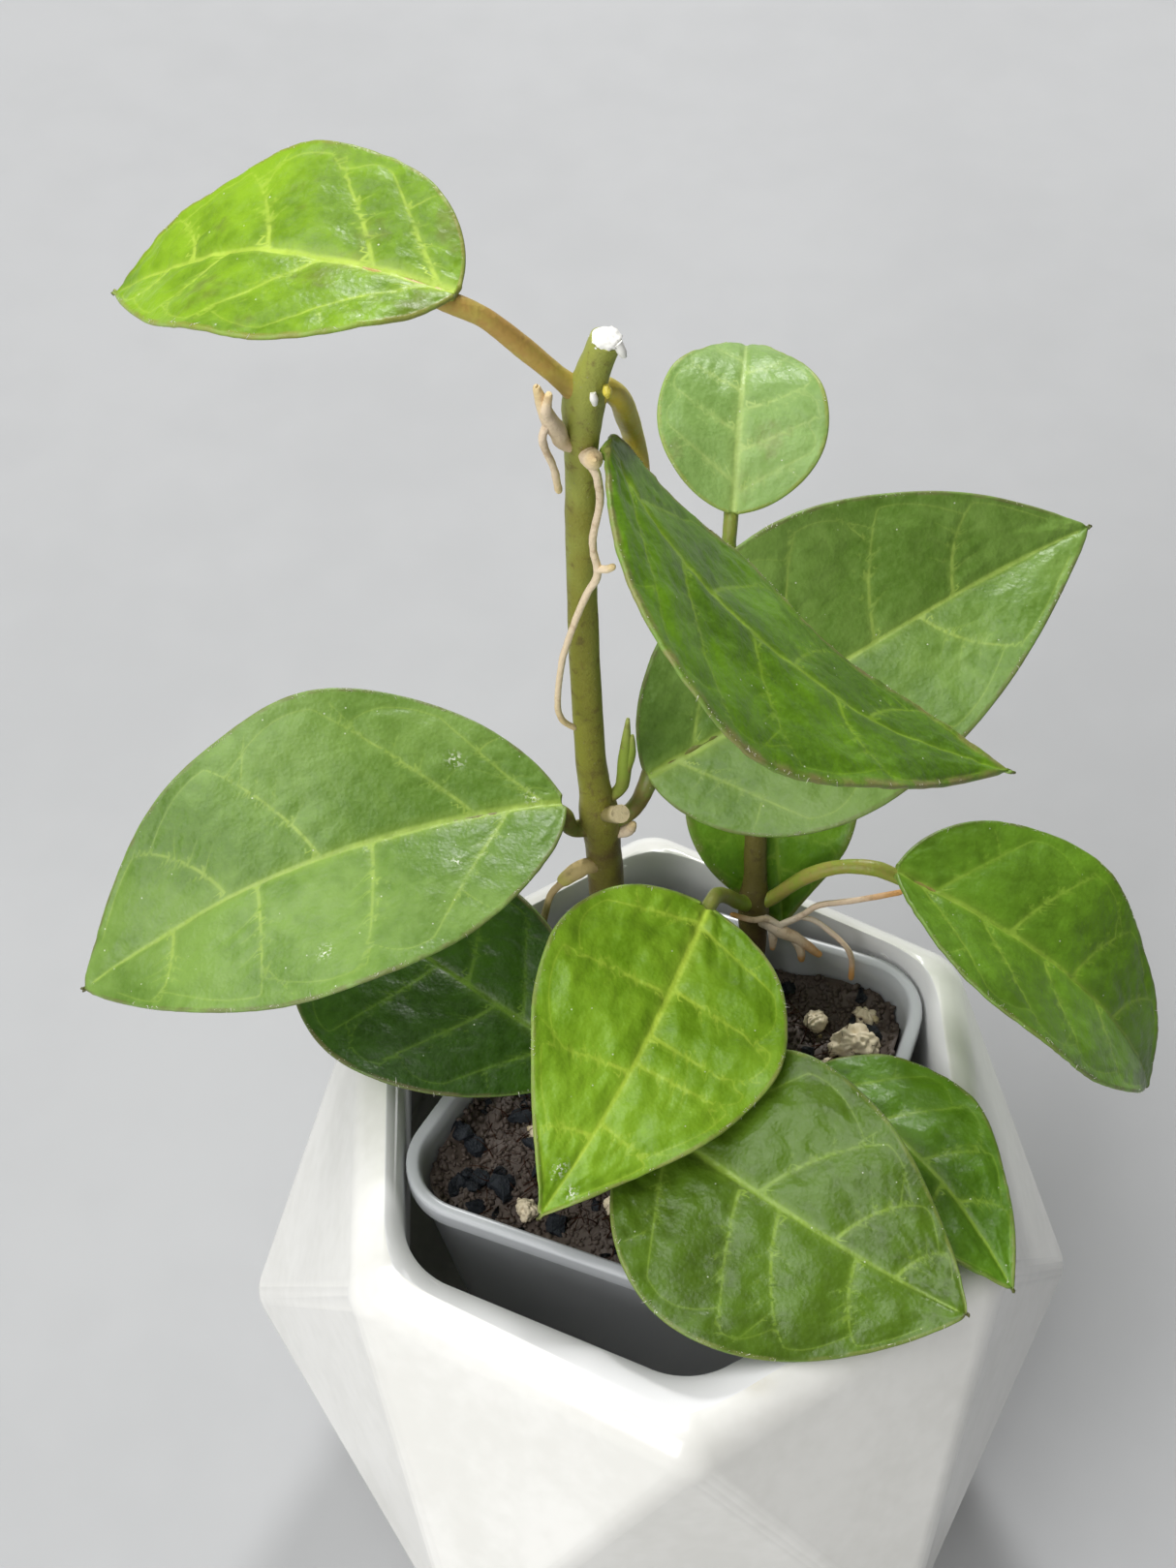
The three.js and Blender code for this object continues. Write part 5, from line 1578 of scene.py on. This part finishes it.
GROWTHS = (
    Growth("shoot_bud", Finish.SHOOT, "bud", (
        ((-8.8, 30, 116.4, 0.8), (-6.7, 29.7, 119.4, 0.85), (-6.2, 29.1, 123, 0.95), (-6.1, 28.6, 128, 0.85),
         (-5.8, 28.2, 135.6, 0.3)),
        ((-6.1, 28.8, 124, 0.7), (-5.3, 28.4, 128.5, 0.6), (-5.2, 28.2, 132.4, 0.3))), 0.1),
    Growth("pruned_stub", Finish.STUB, "bud", (
        ((-9, 28.9, 115.2, 1.1), (-7.2, 26.6, 118, 1.2), (-6.6, 25.6, 119.5, 1.25)),), 0.12, pointed=False),
    Growth("aerial_root_left", Finish.AERIAL_ROOT, "root", (
        ((-11.8, 27.4, 185, 0.9), (-13.4, 26, 187, 0.9), (-13.9, 24.6, 190, 1), (-14.9, 23.2, 193.4, 0.9),
         (-15.9, 23, 197.6, 0.45)),
        ((-14.6, 23.4, 192.8, 0.7), (-15, 22.4, 195, 0.6), (-14.7, 22.2, 197.4, 0.4)),
        ((-14.7, 23.2, 193, 0.5), (-15.5, 22.8, 190.4, 0.45), (-14.4, 23.6, 185.5, 0.42),
         (-13.9, 24.2, 181.5, 0.4)))),
    Growth("aerial_root_long", Finish.AERIAL_ROOT, "root", (
        ((-11, 27, 184.6, 1), (-10.4, 25.2, 185.4, 1.15), (-10.1, 24, 186.2, 1.15), (-10, 23.2, 187, 0.8)),
        ((-10.2, 23.6, 185.8, 0.6), (-9.6, 23.2, 184, 0.5), (-9.4, 23.6, 179.8, 0.45),
         (-10.2, 23.8, 173.2, 0.42), (-9.6, 23.7, 168.3, 0.48), (-11, 23.9, 164.2, 0.44),
         (-12.7, 24.2, 157.7, 0.42), (-13.9, 24.4, 151.8, 0.42), (-14.5, 24.5, 144, 0.4),
         (-14, 24.6, 140.6, 0.4), (-12.6, 25, 138.5, 0.36)),
        ((-9.8, 23.8, 169, 0.45), (-8.6, 23, 169.8, 0.45), (-7.9, 22.8, 170.4, 0.4)))),
    Growth("root_nub", Finish.AERIAL_ROOT, "root", (
        ((-8.2, 29.8, 109.6, 0.9), (-5.6, 29.4, 110.6, 0.9), (-4.8, 29.1, 112.4, 0.5)),)),
    Growth("stem_foot_root", Finish.SOIL_ROOT, "root", (
        ((-9.2, 29.4, 102.6, 1), (-11.1, 28, 104.2, 1.15), (-12.7, 27.6, 103.4, 1.2),
         (-14.4, 27.4, 101.6, 0.9)),
        ((-14, 27.3, 102, 0.6), (-15.9, 26.4, 100.1, 0.5), (-16.9, 26, 95.9, 0.5), (-17.1, 25.8, 93.1, 0.45),
         (-16.4, 25.5, 89.8, 0.4)))),
    Growth("rear_stem_roots", Finish.CLUSTER_ROOT, "root", (
        ((13.1, 29, 89.6, 1), (14.6, 27.5, 90.6, 1), (16.1, 26.4, 90.3, 0.95), (18.1, 25.8, 89.6, 0.85),
         (20, 25.2, 88.3, 0.7), (21.7, 24.6, 86.9, 0.5)),
        ((18.1, 25.8, 89.4, 0.7), (19, 25, 87.8, 0.65), (19.3, 24.4, 86, 0.45)),
        ((15, 27, 90.4, 0.7), (15.2, 26.2, 88.4, 0.6), (15.2, 25.8, 86.8, 0.4)),
        ((16.4, 26.6, 91, 0.5), (14.2, 27.2, 92.1, 0.45), (12, 26.8, 92.5, 0.42), (9.4, 27.2, 93.2, 0.36)),
        ((16, 26.7, 91.2, 0.5), (19.1, 27.4, 92.7, 0.45), (21.3, 27.7, 94.7, 0.45), (25.9, 27.9, 95.5, 0.42),
         (32.2, 28, 97.3, 0.4)),
        ((19, 27.3, 92.5, 0.4), (21.6, 27, 91.3, 0.42), (25.1, 25, 88.9, 0.42), (26.4, 24.5, 85.9, 0.42),
         (26.6, 23.6, 82.4, 0.4)))),
)

STONES = ((27, 15.6, 3.2, 0.3), (23, 11, 2.3, 1.2), (28.8, 20.4, 1.6, 2.1), (21.6, 19.6, 1.7, 0.9),
          (-19.6, -10, 1.7, 1.7), (-17.6, 1.6, 2, 2.6), (-7.6, -9.4, 1.5, 0.6), (4.6, 18.4, 2.2, 3))


@dataclass
class SapCap:
    """White dried sap on the cut top of the main stem, with a drip down one side."""

    place: Point = (-8.7, 26.5, 201.3)
    radius: float = 1.7
    height: float = 0.75
    drip: tuple[Station, ...] = ((-7.6, 25.7, 201.4, 0.6), (-7.1, 25.4, 200.5, 0.5), (-6.8, 25.3, 199.8, 0.3))
    yellow_drop: tuple[Station, ...] = ((-8.7, 25.2, 196, 0.3), (-8.6, 24.95, 195.3, 0.55),
                                        (-8.5, 24.9, 194.6, 0.3))
    milky_drop: tuple[Station, ...] = ((-10.1, 24.9, 195.2, 0.3), (-10, 24.8, 194.4, 0.45),
                                       (-9.9, 24.8, 193.6, 0.3))

    def build(self) -> None:
        """Makes a crusty dome and its drip."""
        rows, columns = 14, 36
        rise = np.linspace(-0.25, 1, rows) * math.pi / 2
        around = np.arange(columns) * 2 * math.pi / columns
        p, a = np.meshgrid(rise, around, indexing="ij")
        x, y = np.cos(p) * np.cos(a), np.cos(p) * np.sin(a)
        crust = 1 + 0.14 * smooth_noise(x * 6, y * 6 + p * 3, 1.0, 61)
        rings = np.stack([self.place[0] + self.radius * x * crust, self.place[1] + self.radius * y * crust,
                          self.place[2] + self.height * np.sin(p) * crust], axis=-1)
        dome = mesh_object("sap_dome", *loft(list(rings)), Finish.DRIED_SAP.material())
        drip = strand("sap_drip", self.drip, Finish.DRIED_SAP, 14, 0.2, 0.9)
        publish(merge("sap_cap_crust", [dome, drip]), "dried_sap", "sap_cap")
        publish(strand("sap_drop_yellow", self.yellow_drop, Finish.YELLOW_SAP, 14, 0.1, 0.9), "dried_sap")
        publish(strand("sap_drop_milky", self.milky_drop, Finish.DRIED_SAP, 14, 0.1, 0.9), "dried_sap")


# ---------------------------------------------------------------- studio


@dataclass
class Camera:
    """The viewing angle of the photograph."""

    place: Point = (-10.86, -157.18, 368.12)
    pitch: float = 52.95
    roll: float = 0.34
    lens: float = 54.1

    def build(self) -> None:
        """Makes the camera the scene's own."""
        cosine, sine = turned(self.pitch)
        forward = Vector((0.0, cosine, -sine))
        right, down = Vector((1.0, 0.0, 0.0)), Vector((0.0, -sine, -cosine))
        c, s = turned(self.roll)
        across, up = right * c + down * s, right * s - down * c
        camera = bpy.data.cameras.new("photo_view")
        camera.lens = self.lens
        camera.sensor_width = 36.0
        camera.clip_start = 0.01
        holder = new_object("photo_view", camera)
        turn = Matrix((across, up, -forward)).transposed()
        holder.matrix_world = Matrix.Translation(Vector(self.place) * MM) @ turn.to_4x4()
        bpy.context.scene.camera = holder


@dataclass
class SoftBox:
    """One large soft lamp that points at the plant."""

    name: str
    place: Point
    size: float
    power: float
    colour: str = "FFFFFF"
    target: Point = (0.0, 10.0, 110.0)

    def build(self) -> None:
        """Hangs the lamp."""
        lamp = bpy.data.lights.new(self.name, "AREA")
        lamp.shape = "SQUARE"
        lamp.size = self.size * MM
        lamp.energy = self.power
        lamp.color = paint(self.colour)[:3]
        holder = new_object(self.name, lamp)
        holder.location = Vector(self.place) * MM
        way = Vector(self.target) - Vector(self.place)
        holder.rotation_euler = way.to_track_quat("-Z", "Y").to_euler()


@dataclass
class Studio:
    """Plain pale floor, soft light and even surroundings."""

    floor_size: float = 6000.0
    floor: str = "A9AAAB"
    floor_patch: str = "ADAEAF"
    air: str = "E4E3E0"
    air_strength: float = 0.18
    lamps: tuple[SoftBox, ...] = (
        SoftBox("overhead", (-620.0, -40.0, 1450.0), 1200.0, 19.0),
        SoftBox("back_window", (150.0, 1150.0, 950.0), 220.0, 13.0),
        SoftBox("front_fill", (-600.0, -900.0, 700.0), 700.0, 8.0),
    )

    def build(self) -> None:
        """Lays the floor and lights the scene."""
        half = self.floor_size / 2
        corners = np.array([[-half, -half, 0], [half, -half, 0], [half, half, 0], [-half, half, 0]])
        made = Surface("pale_floor", Roughness=0.7)
        patches = {"first": paint(self.floor), "second": paint(self.floor_patch), "scale": 0.01}
        made.wire(Base_Color=made.effect(Effect.MOTTLE, **patches).outputs["Colour"])
        floor = mesh_object("floor", corners, [[0, 1, 2, 3]], made.material)
        world = bpy.data.worlds.new("soft_air")
        world.use_nodes = True
        back = world.node_tree.nodes["Background"]
        back.inputs["Color"].default_value = paint(self.air)
        back.inputs["Strength"].default_value = self.air_strength
        bpy.context.scene.world = world
        bpy.context.scene.view_settings.view_transform = "Standard"
        for lamp in self.lamps:
            lamp.build()


def main() -> None:
    """Loads the frame and builds every piece round it."""
    logging.basicConfig(level=logging.INFO, format="%(message)s")
    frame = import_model()
    LOG.info("%d CAD nodes", len(frame["nodes"]))
    Camera().build()
    Studio().build()
    outline = PotOutline()
    Planter().build()
    GrowPot(outline).build()
    SoilBed(outline).build()
    for i, row in enumerate(STONES):
        Stone(f"pumice_{i + 1}", *row).build()
    for part in (*STEMS, *LEAVES, *GROWTHS, SapCap()):
        part.build()
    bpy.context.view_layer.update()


if __name__ == "__main__":
    main()
